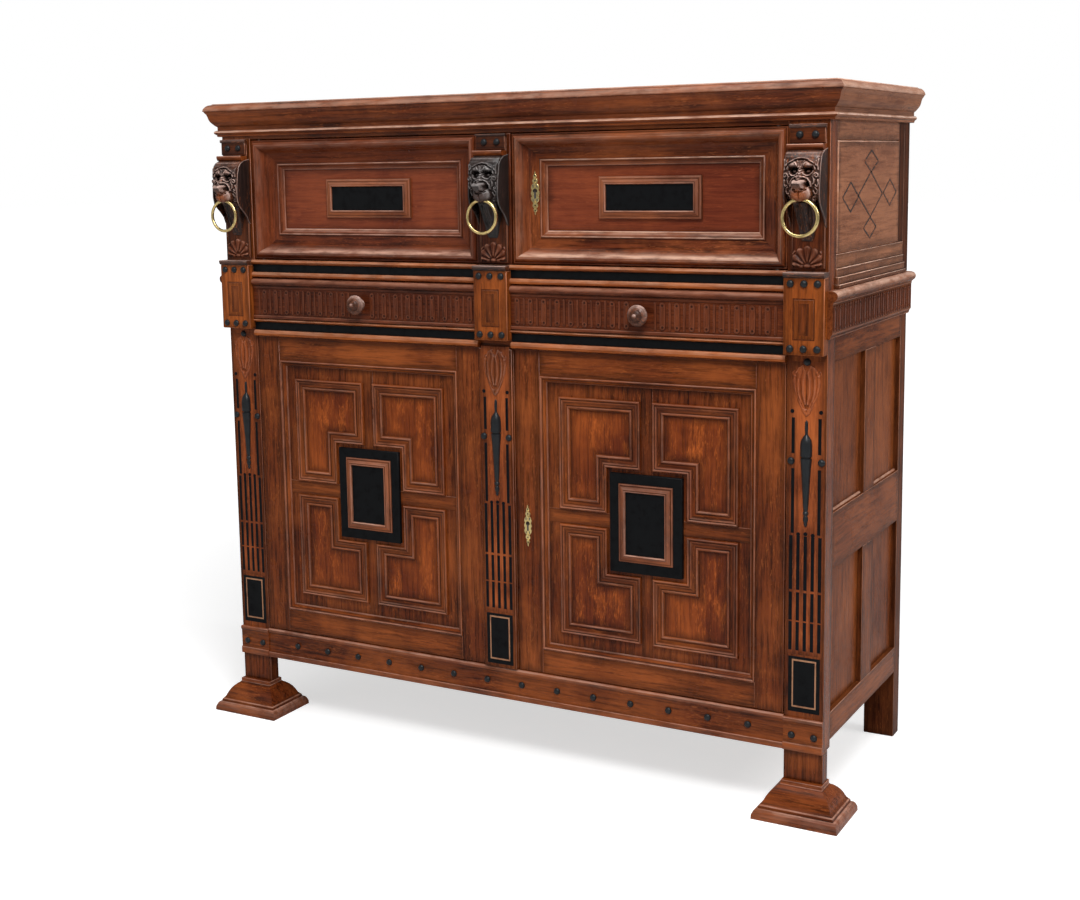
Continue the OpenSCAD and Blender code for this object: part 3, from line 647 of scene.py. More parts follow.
ebony = plain_finish("ebony", (0.0050, 0.0055, 0.0062), (0.003, 0.003, 0.0035), 0.34, shine=0.08)
turned_ebony = plain_finish("polished ebony", (0.009, 0.011, 0.013), (0.005, 0.006, 0.007),
                            0.30, shine=0.3)
brass = plain_finish("old brass", (0.72, 0.55, 0.24), (0.28, 0.18, 0.06), 0.2, metal=1.0)
iron = plain_finish("dark iron", (0.10, 0.095, 0.09), (0.04, 0.03, 0.025), 0.42, metal=0.9)
bone_line = plain_finish("pale inlay line", (0.42, 0.20, 0.10), (0.28, 0.12, 0.06), 0.4)
print("ebony, brass, iron and inlay line made")

# %% [markdown]
# ## The case
# Widths, depths and levels are listed once, from the floor up, so that doors, rails and carving
# all meet. The model looks along its depth: smaller depths are nearer to the front.

# %% Levels and widths
HALF, POST_IN, REAR_IN, BACK, REAR = 762, 677, 691, 572, 529
SHOULDER = 1106
POST_X = 719.5
LEG = 144
LOW_DOOR, LOW_DOOR_TOP = 219, 957
LOW_RAIL, LOW_RAIL_TOP = 959, 1001
HIGH_RAIL, HIGH_RAIL_TOP = 1102, 1144
UP_DOOR, UP_DOOR_TOP = 1146, 1430
TOP_RAIL, CROWN, TOP = 1432, 1500, 1518.6
MEET_L, MEET_R, HINGE = 42.5, 44.5, 675
SIDES = ((1, "right"), (-1, "left"))
print("the case is", 2 * HALF, "wide and", TOP, "high")

# %% [markdown]
# ### Posts, rails and sides
# The corner posts run from the feet to the cornice and carry everything. They are solid oak, so
# plain boards with eased edges are right. What stands on one side is made for the other as well.

# %% Posts
def both_sides(stock, lo, hi, along=2, **more):
    board(stock, lo, hi, along, **more)
    board(stock, (-hi[0], lo[1], lo[2]), (-lo[0], hi[1], hi[2]), along, **more)


posts = Stock()
both_sides(posts, (POST_IN, 0, LEG), (HALF, 45, CROWN), tone=0.45)
both_sides(posts, (POST_IN, 0, 78), (HALF, 29.7, LEG), tone=0.3)
assemble("front_posts_cut", posts, [oak], "case", ["front_posts"])

rear = Stock()
# The faces of the rear posts are darkened towards the dirt colour, the upper part more: painted
# shade.
both_sides(rear, (REAR_IN, REAR, 0), (HALF, BACK, SHOULDER), tone=0.25, face=-0.3, worn=0.7)
both_sides(rear, (REAR_IN, REAR, SHOULDER), (HALF, BACK, CROWN), tone=0.2, face=-0.6, worn=0.8)
assemble("rear_posts_cut", rear, [side_oak], "case", ["rear_posts"], slot="dark_oak")

# %% [markdown]
# The sides are frames with sunk panels. The lower rails and muntins come first, then the steps
# over the carved frieze and the upper part, which is painted paler as a sheen of the light on it.

# %% Sides
FRONT_IN, SIDE_IN, UPPER_SILL, UPPER_HEAD, UPPER_STILE = 45, 744, 1175, 1401, 486
sides = Stock()
for y0, z0, x, y1, z1, along in (
        (FRONT_IN, 160, HALF, REAR, 220, 1), (FRONT_IN, 527, HALF, REAR, 646, 1),
        (FRONT_IN, 958, HALF, REAR, SHOULDER, 1), (260, 220, HALF, 335, 527, 2),
        (260, 646, HALF, 335, 958, 2), (FRONT_IN, SHOULDER, 770, REAR, 1114, 1),
        (FRONT_IN, 1114, 767, REAR, 1129, 1), (FRONT_IN, 1129, 764, REAR, 1146, 1),
        (FRONT_IN, 1146, HALF, REAR, UPPER_SILL, 1),
        (FRONT_IN, UPPER_HEAD, HALF, UPPER_STILE, CROWN, 1)):
    both_sides(sides, (SIDE_IN, y0, z0), (x, y1, z1), along, coat=int(z0 >= SHOULDER))
# The rear stile of the upper side is darkened towards the dirt colour: painted shade in the recess
# by the rear post.
both_sides(sides, (SIDE_IN, UPPER_STILE, UPPER_SILL), (HALF, REAR, CROWN), tone=0.1, worn=0.1,
           face=-0.72)
for x, z in ((771, 1114), (768, 1129), (765, 1146), (763, UPPER_SILL)):
    both_sides(sides, (SIDE_IN, FRONT_IN, z - 3.4), (x, REAR, z), 1, ease=1.3, worn=0.9, coat=1)
for y0, y1 in ((FRONT_IN, 260), (335, REAR)):
    for s in (-1, 1):
        sill = [(s * x, y, z) for y in (y0, y1) for x, z in ((752, 636), (761.8, 636), (752, 650))]
        sides.add(sill, [(0, 1, 2), (3, 4, 5), (0, 1, 4, 3), (1, 2, 5, 4), (2, 0, 3, 5)], 1,
                  [0, 0, 0, 0.75, 0], 0.7)
assemble("side_frames_cut", sides, [side_oak, side_oak_with_sheen], "case", ["side_frames"])

panels = Stock()
for y0, y1 in ((FRONT_IN, 262), (333, REAR)):
    for z0, z1 in ((217, 530), (643, 968)):
        both_sides(panels, (734, y0, z0), (751.6, y1, z1))
# Its wide eased edge takes a pale line along the top: wear with a painted highlight.
both_sides(panels, (740, 46, 1175.5), (764, 485, 1400), 1, tone=0.4, ease=2.6, worn=0.65, coat=1)
assemble("side_panels_cut", panels, [side_oak, side_oak_with_sheen], "case", ["side_panels"], slot="burl")

# %% [markdown]
# ### Feet
# Only the front posts stand on moulded feet. Each is a block with a hollow neck, a swelling and a
# wide step, the same section run round a small rectangle with mitred corners.

# %% Feet
FOOT_SECTION = [(-50, 0, 0.3), (-49.5, 9, 0.3), (-46, 17, 0.4), (-43, 20.5, 0.7),
                (-38.5, 21.5, -0.4), (-37.5, 27, 0.6), (-35, 29.5, -0.3), (-31.5, 33), (-29, 38),
                (-26, 44.5), (-21.5, 52), (-16, 58.5), (-9, 64.5), (-4.5, 67, -0.5),
                (-3, 68.5, 0.6), (-2, 70, 0.2), (-2, 77, 0.6), (-1, 78), (20, 78), (20, 0)]
feet = Stock()
for s in (-1, 1):
    x0, x1 = sorted((s * POST_IN, s * HALF))
    run_moulding(feet, rect(x0, x1, -10, 35), FOOT_SECTION, lay=plan, tone=0.3, along=0)
assemble("feet_cut", feet, [oak], "case", ["feet"])

# %% [markdown]
# ### Base rail
# The rail under the doors has a rounded lip on top, a small step at its foot and a row of black
# nail heads. Its end blocks stand over the posts.

# %% Base rail
def raised(section, height):
    return [(depth, height + z, *worn) for depth, z, *worn in section]


base = Stock()
BASE_SECTION = [(0, 0), (-6, 0, 0.4), (-6, 11, 0.5), (-4.5, 12.5, -0.3), (-2, 13), (-2, 60, -0.3),
                (-3.5, 62, 0.4), (-5, 64.5, 0.6), (-5, 69.5, 0.8), (-3.5, 72, 0.5), (-1, 73),
                (25, 73), (25, 0)]
stick(base, -POST_IN, POST_IN, raised(BASE_SECTION, LEG), tone=0.3)
BLOCK_SECTION = [(0, 0), (-8, 0, 0.4), (-8, 14, 0.5), (-6.5, 16, -0.4), (-5, 17), (-5, 59, -0.3),
                 (-6.5, 61, 0.4), (-8, 63, 0.7), (-8, 68.5, 0.7), (-6.5, 70, 0.3), (0, 70)]
for s in (-1, 1):
    x0, x1 = sorted((s * POST_IN, s * HALF))
    stick(base, x0, x1, raised(BLOCK_SECTION, LEG), tone=0.35)
assemble("base_rail_cut", base, [oak], "case", ["base_rail", "base_blocks"])

# %% [markdown]
# ### Waist rails
# Above and below the drawers runs a rail with two rounded golden lips and a band of ebony between
# them. They stop against the middle block, so each half is a stick of its own.

# %% Waist rails
def waist_stick(stock, x0, x1, z0, z1, low, high, reach):
    lower = [(0, 0), (3 - reach, 0, 0.3), (-reach, 2, 0.5), (-reach - 1, low * 0.45, 0.8),
             (-reach, low - 3, 0.5), (3 - reach, low - 0.5, -0.3), (0, low)]
    upper = [(0, -high), (3 - reach, 0.5 - high, -0.3), (-reach, 3 - high, 0.5),
             (-reach - 1, -high * 0.45, 0.8), (-reach, -2.5, 0.5), (2 - reach, 0, 0.2), (0, 0)]
    for line in (raised(lower, z0), raised(upper, z1)):
        stick(stock, x0, x1, line, tone=0.7)
    board(stock, (x0, -6, z0 + low), (x1, 0, z1 - high), 0, ease=0.3, coat=1, worn=0.1)


waist = Stock()
for z0, z1, low, high in ((LOW_RAIL, LOW_RAIL_TOP, 15, 8), (HIGH_RAIL, HIGH_RAIL_TOP, 13, 11)):
    board(waist, (-POST_IN, 0, z0), (POST_IN, 25, z1), 0, tone=0.4)
    for x0, x1 in ((-POST_IN, -MEET_L), (MEET_L, POST_IN)):
        waist_stick(waist, x0, x1, z0, z1, low, high, 12)
assemble("waist_rails_cut", waist, [golden_oak, ebony], "case",
         ["low_waist_rail", "high_waist_rail"])

top_rail = Stock()
board(top_rail, (-POST_IN, 0, TOP_RAIL), (POST_IN, 45, CROWN), 0, tone=0.3)
assemble("top_rail_cut", top_rail, [oak], "case", ["top_rail"])

# %% [markdown]
# ### Frieze blocks
# Three blocks break the waist over the posts and the middle. Each has a dark ledge, a face of
# golden oak and a sunk upright tablet outlined by a fine dark line.

# %% Frieze blocks
blocks = Stock()
for x in (-POST_X, 0, POST_X):
    x0, x1 = x - 42.5, x + 42.5
    board(blocks, (x0, -26, 977), (x1, 0, 1132), 2, tone=0.75, coat=0, ease=1.5)
    ledge = [(0, 1132), (-27, 1132, -0.4), (-29, 1134), (-31, 1138, 0.5), (-31, 1141.5, 0.9),
             (-29.5, 1142.5, 0.4), (0, 1142.5)]
    stick(blocks, x0, x1, ledge, tone=0.2, coat=2)
    for half, y, z0, z1, coat, tone, worn in ((23, -26.5, 1007, 1091, 1, 0.3, 0),
                                              (20.5, -26.9, 1010, 1088, 0, 0.75, 0.5),
                                              (11, -27.3, 1017, 1081, 1, 0.6, 0)):
        board(blocks, (x - half, y, z0), (x + half, -20, z1), 2, ease=0.3, coat=coat, tone=tone,
              worn=worn)
assemble("frieze_blocks_cut", blocks, [golden_oak, oak, lion_wood], "case", ["frieze_blocks"])

# %% [markdown]
# ### Cornice and crown
# The cornice is the boldest moulding: a bead, a fillet, a long reversed curve and a rounded crown
# board. Running one section round three sides gives true mitres at the two front corners.

# %% Cornice
CORNICE_SECTION = [(5, 1440), (-8, 1440, -0.4), (-10, 1441), (-10.5, 1444.5, 0.3),
                   (-12, 1445.5, -0.5), (-14.2, 1447), (-15.8, 1450, 1.5), (-14.6, 1453, 0.6),
                   (-12, 1454.8, -0.6), (-9, 1455.2, -0.2), (-9, 1463, 0.4), (-9.6, 1464, -0.4),
                   (-12.6, 1466, -0.15), (-15.8, 1469.5, -0.15), (-19, 1473.2, -0.1),
                   (-21.5, 1476.5, -0.1), (-23.2, 1480.4, -0.1), (-24.5, 1484.5), (-25.5, 1489),
                   (-27.5, 1494, 0.2), (-30, 1497, 0.3), (-31.5, 1500, -0.5), (5, 1500)]
CROWN_SECTION = [(5, 1500.1), (-31.5, 1500.1, 0.3), (-33.5, 1501.2, 0.9), (-33.5, 1503, 0.8),
                 (-32.6, 1506.4, 0.5), (-30.6, 1509.8, 0.3), (-27.6, 1513, 0.1),
                 (-24.6, 1515.2, -0.4), (-22.4, 1515.8, 0.2), (-19, 1516.4, 0.6),
                 (-17, 1517.4, 0.9), (-16.4, 1518.6, 0.4), (5, 1518.6)]
ROUND_THREE = [(-HALF, BACK), (-HALF, 5), (HALF, 5), (HALF, BACK)]
cornice = Stock()
# The front runs in the darker frame oak, painted shade on a face that looks down and forward; the
# ends run in the pale sheen oak, a painted highlight.
for section, tone in ((CORNICE_SECTION, 0.5), (CROWN_SECTION, 0.45)):
    run_moulding(cornice, ROUND_THREE, section, lay=plan, closed=False, tone=tone, coat=[1, 2, 1])
board(cornice, (-HALF + 4, 9, 1500.2), (HALF - 4, BACK - 0.2, 1518.5), 0, ease=0.4, tone=0.4)
assemble("cornice_cut", cornice, [oak, side_oak_with_sheen, frame_oak], "case",
         ["cornice_front", "cornice_sides", "crown_board"])

# %% [markdown]
# ## Rows of small pieces
# Nail heads, the tongues of the carved frieze and other repeats follow a list of points. A
# Geometry Nodes tree puts a copy of one small piece on every point, turns each a little, and makes
# the copies real, so that a row can be changed by its inputs alone.

# %% Row tree
def make_row_tree():
    tree, given, result = new_group(
        "row of pieces", [("Geometry", "Geometry"), ("Piece", "Object"), ("Finish", "Material"),
                          ("Size", "Float", 1.0), ("Uneven", "Float", 0.05), ("Seed", "Int", 3)],
        [("Geometry", "Geometry")], "GeometryNodeTree")
    piece = step(tree, "GeometryNodeObjectInfo")
    spin = step(tree, "FunctionNodeRandomValue", data_type="FLOAT_VECTOR")
    turn = step(tree, "FunctionNodeEulerToRotation")
    copies = step(tree, "GeometryNodeInstanceOnPoints")
    real = step(tree, "GeometryNodeRealizeInstances")
    coat = step(tree, "GeometryNodeSetMaterial")
    for output, target in ((given["Piece"], piece.inputs[0]),
                           (times(tree, given["Uneven"], -1.0), spin.inputs[0]),
                           (given["Uneven"], spin.inputs[1]),
                           (given["Seed"], spin.inputs["Seed"]),
                           (spin.outputs[0], turn.inputs[0]),
                           (given["Geometry"], copies.inputs["Points"]),
                           (piece.outputs["Geometry"], copies.inputs["Instance"]),
                           (turn.outputs[0], copies.inputs["Rotation"]),
                           (given["Size"], copies.inputs["Scale"]),
                           (copies.outputs[0], real.inputs[0]),
                           (real.outputs[0], coat.inputs["Geometry"]),
                           (given["Finish"], coat.inputs["Material"]),
                           (coat.outputs[0], result[0])):
        wire(tree, output, target)
    return tree, {socket.name: socket.identifier for socket in tree.interface.items_tree
                  if socket.in_out == "INPUT"}


row_tree, row_ins = make_row_tree()


def pattern_piece(name, stock):
    mesh = cut_mesh(name, stock, place=lambda *point: [v / METRE for v in point])
    return bpy.data.objects.new(name, mesh)


def row(name, pattern, points, finish, body, stands_for=(), slot="oak", size=1.0, uneven=0.05,
        seed=3):
    dots = bpy.data.meshes.new(name + "_points")
    dots.from_pydata([at(*p) for p in points], [], [])
    carrier = add_object(name + "_points", dots)
    layer = carrier.modifiers.new("row", "NODES")
    layer.node_group = row_tree
    for label, value in (("Piece", pattern), ("Finish", finish), ("Size", size),
                         ("Uneven", uneven), ("Seed", seed)):
        layer[row_ins[label]] = value
    ready = carrier.evaluated_get(bpy.context.evaluated_depsgraph_get())
    mesh = bpy.data.meshes.new_from_object(ready)
    mesh.name = name
    bpy.data.objects.remove(carrier)
    dress(add_object(name, mesh), body, stands_for)


# %% [markdown]
# ### Nail heads
# The black studs are forged domes with a thin rim. One small dome, turned with a dozen sides, is
# enough at this size.

# %% Nails
dome = Stock()
turn_on_lathe(dome, [(5.6, 0), (5.5, 0.8), (4.9, 2.2, 0.2), (3.6, 3.4, 0.4), (1.8, 4.1, 0.6),
                     (0.2, 4.3, 0.6)], (0, 0, 0), 1, sides=12)
nail_head = pattern_piece("nail_head", dome)
nails = [(-587 + i * 91.15, -2, 182) for i in range(14)]
for s in (-1, 1):
    nails += [(s * (POST_X + d), -5, 177) for d in (-24, 24)]
nails += [(x + d, -26, z) for x in (-POST_X, 0, POST_X) for d in (-28, 0, 28) for z in (1120, 990)]
nails += [(x + d, -12, 1412) for x in (-POST_X, POST_X) for d in (-16, 16)]
nails += [(s * POST_X + d, 0, 757) for s in (-1, 1) for d in (-32, 32)]
nails += [(s * POST_X, 0, 961) for s in (-1, 1)]
black_studs = {"slot": "ebony", "size": 1.4}
row("nails_cut", nail_head, nails, turned_ebony, "case", ["case_nails"], uneven=0.12,
    **black_studs)
for tier, x, y, z in (("lower", 32, -9, 757), ("upper", 16, -12, 1412)):
    row(f"{tier}_middle_nails", nail_head, [(-x, y, z), (x, y, z)], turned_ebony,
        f"{tier}_left_door", **black_studs)

# %% [markdown]
# ## Doors
# Each lower door is a frame of stiles and rails, a moulding round its field, and four panels in
# the shape of an L round a raised middle block with an ebony tablet. The left doors are wider,
# because the middle pilaster is fixed to them and covers the joint.

# %% Lower doors
def fit(tier, sign, part, stock, finishes, **more):
    """Cuts a part of a door; the left doors are the right ones turned over."""
    if sign < 0:
        stock.points = [(-x, y, z) for x, y, z in stock.points]
    door = f"{tier}_{dict(SIDES)[sign]}"
    assemble(f"{door}_{part}_cut", stock, finishes, f"{door}_door", [f"{door}_{part}"], **more)


FIELD_L, FIELD_R, FIELD_LOW, FIELD_TOP = 107, 612, 275, 900
MIDDLE_X, MIDDLE_Z = 361, 587
DOOR_MOULD = [(0, 0.5, 0), (0.6, -0.8, 0.7), (2.4, -1.6, 0.9), (4.2, -0.8, 0.3), (5, 1.2, -0.7),
              (7.4, 2.6), (10, 5.4), (11.4, 8.2, -0.6), (12, 8.2, 0.8), (13.8, 8.6, 0.6),
              (14.4, 11.8, -0.9), (14.4, 14), (0, 14)]
L_MOULD = [(0, 13), (0, 8), (0.8, 5.6, 0.3), (2.4, 4.4, 0.8), (4.2, 4.7, 0.35), (5.2, 6.2, -0.8),
           (6.4, 6.8, -0.5), (7.6, 5.8, 0.6), (9.2, 6.0, 0.2), (10.8, 7.4, -0.4), (14, 8.8, -0.15),
           (17.6, 9.4, -0.5), (19.2, 9.8, -0.9), (20.4, 7.6, 0.3), (22.2, 6.4, 0.85),
           (24.2, 6.6, 0.4), (25.6, 8.4, -0.2), (27.2, 10.8, -0.8), (27.8, 11.9, -0.9), (27.8, 13)]
FIELD_EDGE = [(27.6, 13), (27.6, 11.9), (34, 11.9), (40, 11.9), (46.8, 11.9), (46.8, 13)]
PLAQUE_RING = [(0, 3.4), (0.2, 2.4, -0.5), (0.9, 1.6, 0.7), (2.2, 1.3, 0.4), (3, 1.2, -0.6),
               (6, -0.3, 0.3), (9.4, -2.0, 0.4), (12.4, -3.3, 0.5), (13.3, -3.0, -0.8),
               (14.3, -4.4, 1), (16, -4.6, 1), (17.2, -3.6, 0.6), (17.6, 1, -0.9), (17.6, 4),
               (0, 4)]


def l_shape(sx, sz):
    near, far = (14, 17), (211, 269)
    step_x, step_z = 94, 119
    corners = [(step_x, near[1]), (far[0], near[1]), far, (near[0], far[1]), (near[0], step_z),
               (step_x, step_z)]
    corners = [(MIDDLE_X + sx * x, MIDDLE_Z + sz * z) for x, z in corners]
    return corners if sx * sz > 0 else corners[::-1]


def lower_door(sign):
    frame_stock = Stock()
    x_meet = MEET_R if sign > 0 else -MEET_L
    for x0, x1, y, z0, z1, along, tone in (
            (x_meet, FIELD_L, 0, LOW_DOOR, LOW_DOOR_TOP, 2, 0.35),
            (FIELD_R, HINGE, 0, LOW_DOOR, LOW_DOOR_TOP, 2, 0.5),
            (FIELD_L, FIELD_R, 0.3, LOW_DOOR, FIELD_LOW, 0, 0.75),
            (FIELD_L, FIELD_R, 0.3, FIELD_TOP, LOW_DOOR_TOP, 0, 0.65)):
        board(frame_stock, (x0, y, z0), (x1, 26, z1), along, tone=tone)
    run_moulding(frame_stock, rect(FIELD_L, FIELD_R, FIELD_LOW, FIELD_TOP), DOOR_MOULD)
    fit("lower", sign, "frame", frame_stock, [oak])
    field = Stock()
    for x0, x1, y0, y1, z0, z1, along, tone, ease in (
            (FIELD_L + 12, FIELD_R - 12, 12, 22, FIELD_LOW + 12, FIELD_TOP - 12, 2, 0.3, 1),
            (347, 375, 11.2, 20, FIELD_LOW + 14, FIELD_TOP - 14, 2, 0.45, 0.5),
            (FIELD_L + 14, FIELD_R - 14, 11, 20, 571, 603, 0, 0.7, 0.5)):
        board(field, (x0, y0, z0), (x1, y1, z1), along, tone=tone, ease=ease)
    for sx, sz in itertools.product((-1, 1), repeat=2):
        run_moulding(field, l_shape(sx, sz), L_MOULD, tone=0.35)
        # The panel just inside each L is darkened from the moulding inward: dirt and painted shade
        # of the sunk panel.
        run_moulding(field, l_shape(sx, sz), FIELD_EDGE, coat=1, tone=0.5, along=2,
                     shade_and_dirt_from=FIELD_EDGE[0][0])
        for u0, u1, v0, v1 in ((140, 165, 63, 223), (60, 140.2, 165, 223)):
            x0, x1 = sorted((MIDDLE_X + sx * u0, MIDDLE_X + sx * u1))
            z0, z1 = sorted((MIDDLE_Z + sz * v0, MIDDLE_Z + sz * v1))
            board(field, (x0, 11.88, z0), (x1, 20, z1), 2, ease=0.05, tone=0.5, coat=1, worn=0,
                  no_margin_darkening=True)
    fit("lower", sign, "panel", field, [oak, red_panel], slot="burl")
    plaque = Stock()
    board(plaque, (275.5, 3, 477), (446.5, 13, 697), 2, ease=1.2, worn=0.3)
    run_moulding(plaque, rect(297, 425, 501, 675), PLAQUE_RING, coat=1, tone=0.75)
    board(plaque, (314, 0.6, 518), (408, 5, 658), 2, ease=0.6, worn=0.2)
    fit("lower", sign, "plaque", plaque, [ebony, plaque_oak], slot="ebony")


for sign, _ in SIDES:
    lower_door(sign)

# %% [markdown]
# The upper doors are deeper: a bold round moulding near the edge, a sunk flat, a sloping inner
# moulding and a panel far back, with a long ebony tablet in a raised frame.

# %% Upper doors
# Wear numbers above 1 paint bright highlight lines on the nose and the beads, and `level` -0.12
# below keeps them to faces that look up.
DEEP_MOULD = [(0, 46), (0, 5, 0), (1.2, 3.4, 0.5), (3, 3.0, 0.4), (3.8, 3.8, -0.7),
              (4.8, 2.2, 0.1), (7, -0.6, 0.3), (9.6, -2.8, 0.6), (11.6, -3.5, 3.5),
              (13.4, -3.6, 1.2), (15.6, -3.0, 1.6), (18.4, -0.8, 1.5), (20.8, 2.6, 1.1),
              (22.8, 6.6, 0.7), (24.8, 10.6, 0.4), (27.2, 15.2, 0.2), (30.2, 19.2, 0.1),
              (34, 22.4), (39, 25), (45, 27), (51, 28.2), (55.4, 28.8, -0.35), (56.4, 27.6, -0.3),
              (57.2, 26.2, 3), (58.8, 25.4, 4), (60.4, 26, 0.4), (61.2, 27.4, -0.45),
              (62.4, 28.4, 0.4), (65, 30.6, 0.8), (68, 33.4, 1), (69.6, 34.2, 3.5), (71, 34.9, 3),
              (71.6, 36.2, -0.3), (72, 37.9, -0.5), (72, 46)]
LONG_RING = [(0, 38), (0, 34, -0.6), (0.8, 31.6, 0.3), (2.2, 30.9, 0.8), (3.6, 30.8, 0.3),
             (4.8, 30.6, -0.4), (7.6, 29.4, 0.3), (11.4, 27.7, 0.4), (13.2, 27.4, -0.5),
             (14.4, 26.2, 1), (16.2, 26.0, 1), (17.4, 27, 0.5), (17.8, 31, -0.7), (17.8, 38)]


def upper_door(sign, finish):
    frame_stock = Stock()
    run_moulding(frame_stock, rect(MEET_R, HINGE, UP_DOOR, UP_DOOR_TOP), DEEP_MOULD)
    if sign < 0:
        board(frame_stock, (-MEET_L, 0, UP_DOOR), (MEET_R, 46, UP_DOOR_TOP), 2, tone=0.4)
    fit("upper", sign, "frame", frame_stock, [finish], level=-0.12)
    panel = Stock()
    rim = 68
    board(panel, (MEET_R + rim, 38, UP_DOOR + rim), (HINGE - rim, 46, UP_DOOR_TOP - rim), 0,
          ease=0.3, tone=0.35)
    fit("upper", sign, "panel", panel, [smooth_panel], slot="burl")
    plaque = Stock()
    run_moulding(plaque, rect(241, 478.5, 1244, 1335), LONG_RING, coat=1, tone=0.7)
    board(plaque, (257, 30.5, 1260), (462.5, 38, 1319), 0, ease=0.5, worn=0.1)
    fit("upper", sign, "plaque", plaque, [ebony, plaque_oak], slot="ebony")


upper_door(1, frame_oak)
# The left door takes the darker copy of the frame oak: painted shade.
upper_door(-1, left_oak_in_shade)

# %% [markdown]
# ## Drawers
# The drawer fronts carry the frieze: a bold round along the top and a carved row of tongues below.
# The box behind is plain boards, seen when the drawer is pulled.

# %% Drawers
DRAWER_FACE = [(12, 1003), (-14, 1003, 0.3), (-14, 1008.5, 0.7), (-12.8, 1010, -0.8),
               (-11, 1010.6), (-11, 1075, -0.6), (-12.4, 1076, 0.4), (-12.6, 1080, 0.2),
               (-11.8, 1081.6, -0.9), *bead(-11, 1090, 8.2, 7.6, range(15, 180, 15)),
               (-10.5, 1098.4, -0.4), (-9.5, 1100), (12, 1100)]


def drawer(sign, side_name):
    made = Stock()
    stick(made, MEET_R, HINGE, DRAWER_FACE, tone=0.35)
    for x0, x1, y0, y1, top, along, tone in (
            (46, 56, 12, 452, 1086, 1, 0.4), (657.5, 667.5, 12, 452, 1086, 1, 0.4),
            (56, 657.5, 442, 452, 1086, 0, 0.5), (56, 657.5, 12, 442, 1011, 1, 0.6)):
        board(made, (x0, y0, 1001), (x1, y1, top), along, coat=1, tone=tone)
    made.points = [(sign * x, y, z) for x, y, z in made.points]
    assemble(f"{side_name}_drawer_cut", made, [carved_oak, drawer_wood], f"{side_name}_drawer",
             [f"{side_name}_drawer"])


for sign, side_name in SIDES:
    drawer(sign, side_name)

# %% [markdown]
# ### Carved tongues
# The frieze is a row of upright tongues with round ends, cut in pairs: a broad one with a punched
# dot at each end, then a narrow one. Two small pieces and two rows of points make each frieze.

# %% Tongues
def tongue(width, height, proud, dots):
    stock = Stock()
    r = width / 2
    ring = [(r * turned(a)[0], height / 2 - r + r * turned(a)[1]) for a in range(0, 181, 30)]
    ring += [(x, -z) for x, z in ring[::-1]]
    n = len(ring)
    points = [(x * (1 - inset / r), -depth, z * (1 - 2 * inset / height))
              for inset, depth in ((0, 0), (0.8, proud * 0.8), (2.6, proud)) for x, z in ring]
    faces = skin(3, n) + [range(2 * n, 3 * n), range(n)]
    # The sides of each tongue are darkened as painted shade in the cut, and the inside of each
    # punched dot as painted shade.
    stock.add(points, faces, 2, [-0.5] * n + [0.15] * n + [0.05, 0], 0.5)
    if dots:
        shaded_pit = [(2.6, proud - 0.2, -1), (2.4, proud + 0.15, -1), (0.3, proud + 0.2, -1)]
        rim = [(5.2, proud - 0.3, 0.1), (4.6, proud + 0.5, 0.25), (3.6, proud + 0.5, 0.1),
               (2.8, proud - 0.1, -0.8)]
        for z in (height / 2 - r, r - height / 2):
            turn_on_lathe(stock, shaded_pit, (0, 0, z), 1, sides=8)
            turn_on_lathe(stock, rim, (0, 0, z), 1, sides=10)
    return stock


broad_tongue = pattern_piece("broad_tongue", tongue(14, 60, 2.2, True))
narrow_tongue = pattern_piece("narrow_tongue", tongue(6.4, 60, 2.0, False))
PITCH, KNOB_X, KNOB_ROOM = 16.55, 360, 20
for sign, side_name in SIDES:
    xs = [sign * (61 + i * PITCH) for i in range(37)]
    places = [(x, -11, 1043) for x in xs if abs(abs(x) - KNOB_X) > KNOB_ROOM]
    for kind, pattern, start, seed in (("broad", broad_tongue, 0, 3),
                                       ("narrow", narrow_tongue, 1, 8)):
        row(f"{side_name}_frieze_{kind}", pattern, places[start::2], carved_oak,
            f"{side_name}_drawer", uneven=0.01, seed=seed)

# %% [markdown]
# The same carving runs along both sides of the case under a heavy round. Its pieces look sideways,
# so the small patterns are turned a quarter round first.

# %% Side friezes
SIDE_FACE = [(0, 1008), (-4, 1008.4, 0.5), (-6, 1010, 0.6), (-6.4, 1012, -0.6), (-7.6, 1016, 0),
             (-10, 1019, 0.6), (-10.6, 1021, -0.3), (-10.6, 1077, -0.5), (-11.6, 1079, 0.4),
             (-11.4, 1081, -0.8), (-12, 1082.5),
             *bead(-11.5, 1094.5, 9.2, 9.5, range(30, 171, 15)), (-9, 1105, 0.2), (0, 1105)]
side_frieze = Stock()
for path in ([(-HALF, BACK), (-HALF, -7)], [(HALF, -7), (HALF, BACK)]):
    run_moulding(side_frieze, path, SIDE_FACE, lay=plan, closed=False, tone=0.5)
assemble("side_friezes_cut", side_frieze, [side_oak], "case", ["side_friezes"])
ys = [4 + i * 16.9 for i in range(34)]
for sign, side_name in SIDES:
    for kind, width, dots, start in (("broad", 13, True, 0), ("narrow", 7, False, 1)):
        shape = tongue(width, 52, 2.0, dots)
        shape.points = [(-sign * y, sign * x, z) for x, y, z in shape.points]
        row(f"side_{side_name}_{kind}_tongues", pattern_piece(f"side_{kind}_{side_name}", shape),
            [(sign * (HALF + 10.6), y, 1049.5) for y in ys[start::2]], carved_oak, "case",
            uneven=0.01, seed=5)

# %% [markdown]
# ### Knobs
# The drawer knobs are turned from a darker wood: a collar against the front, a thin neck, a full
# bulb, and a dark button whose tip is pale with wear and a painted highlight.

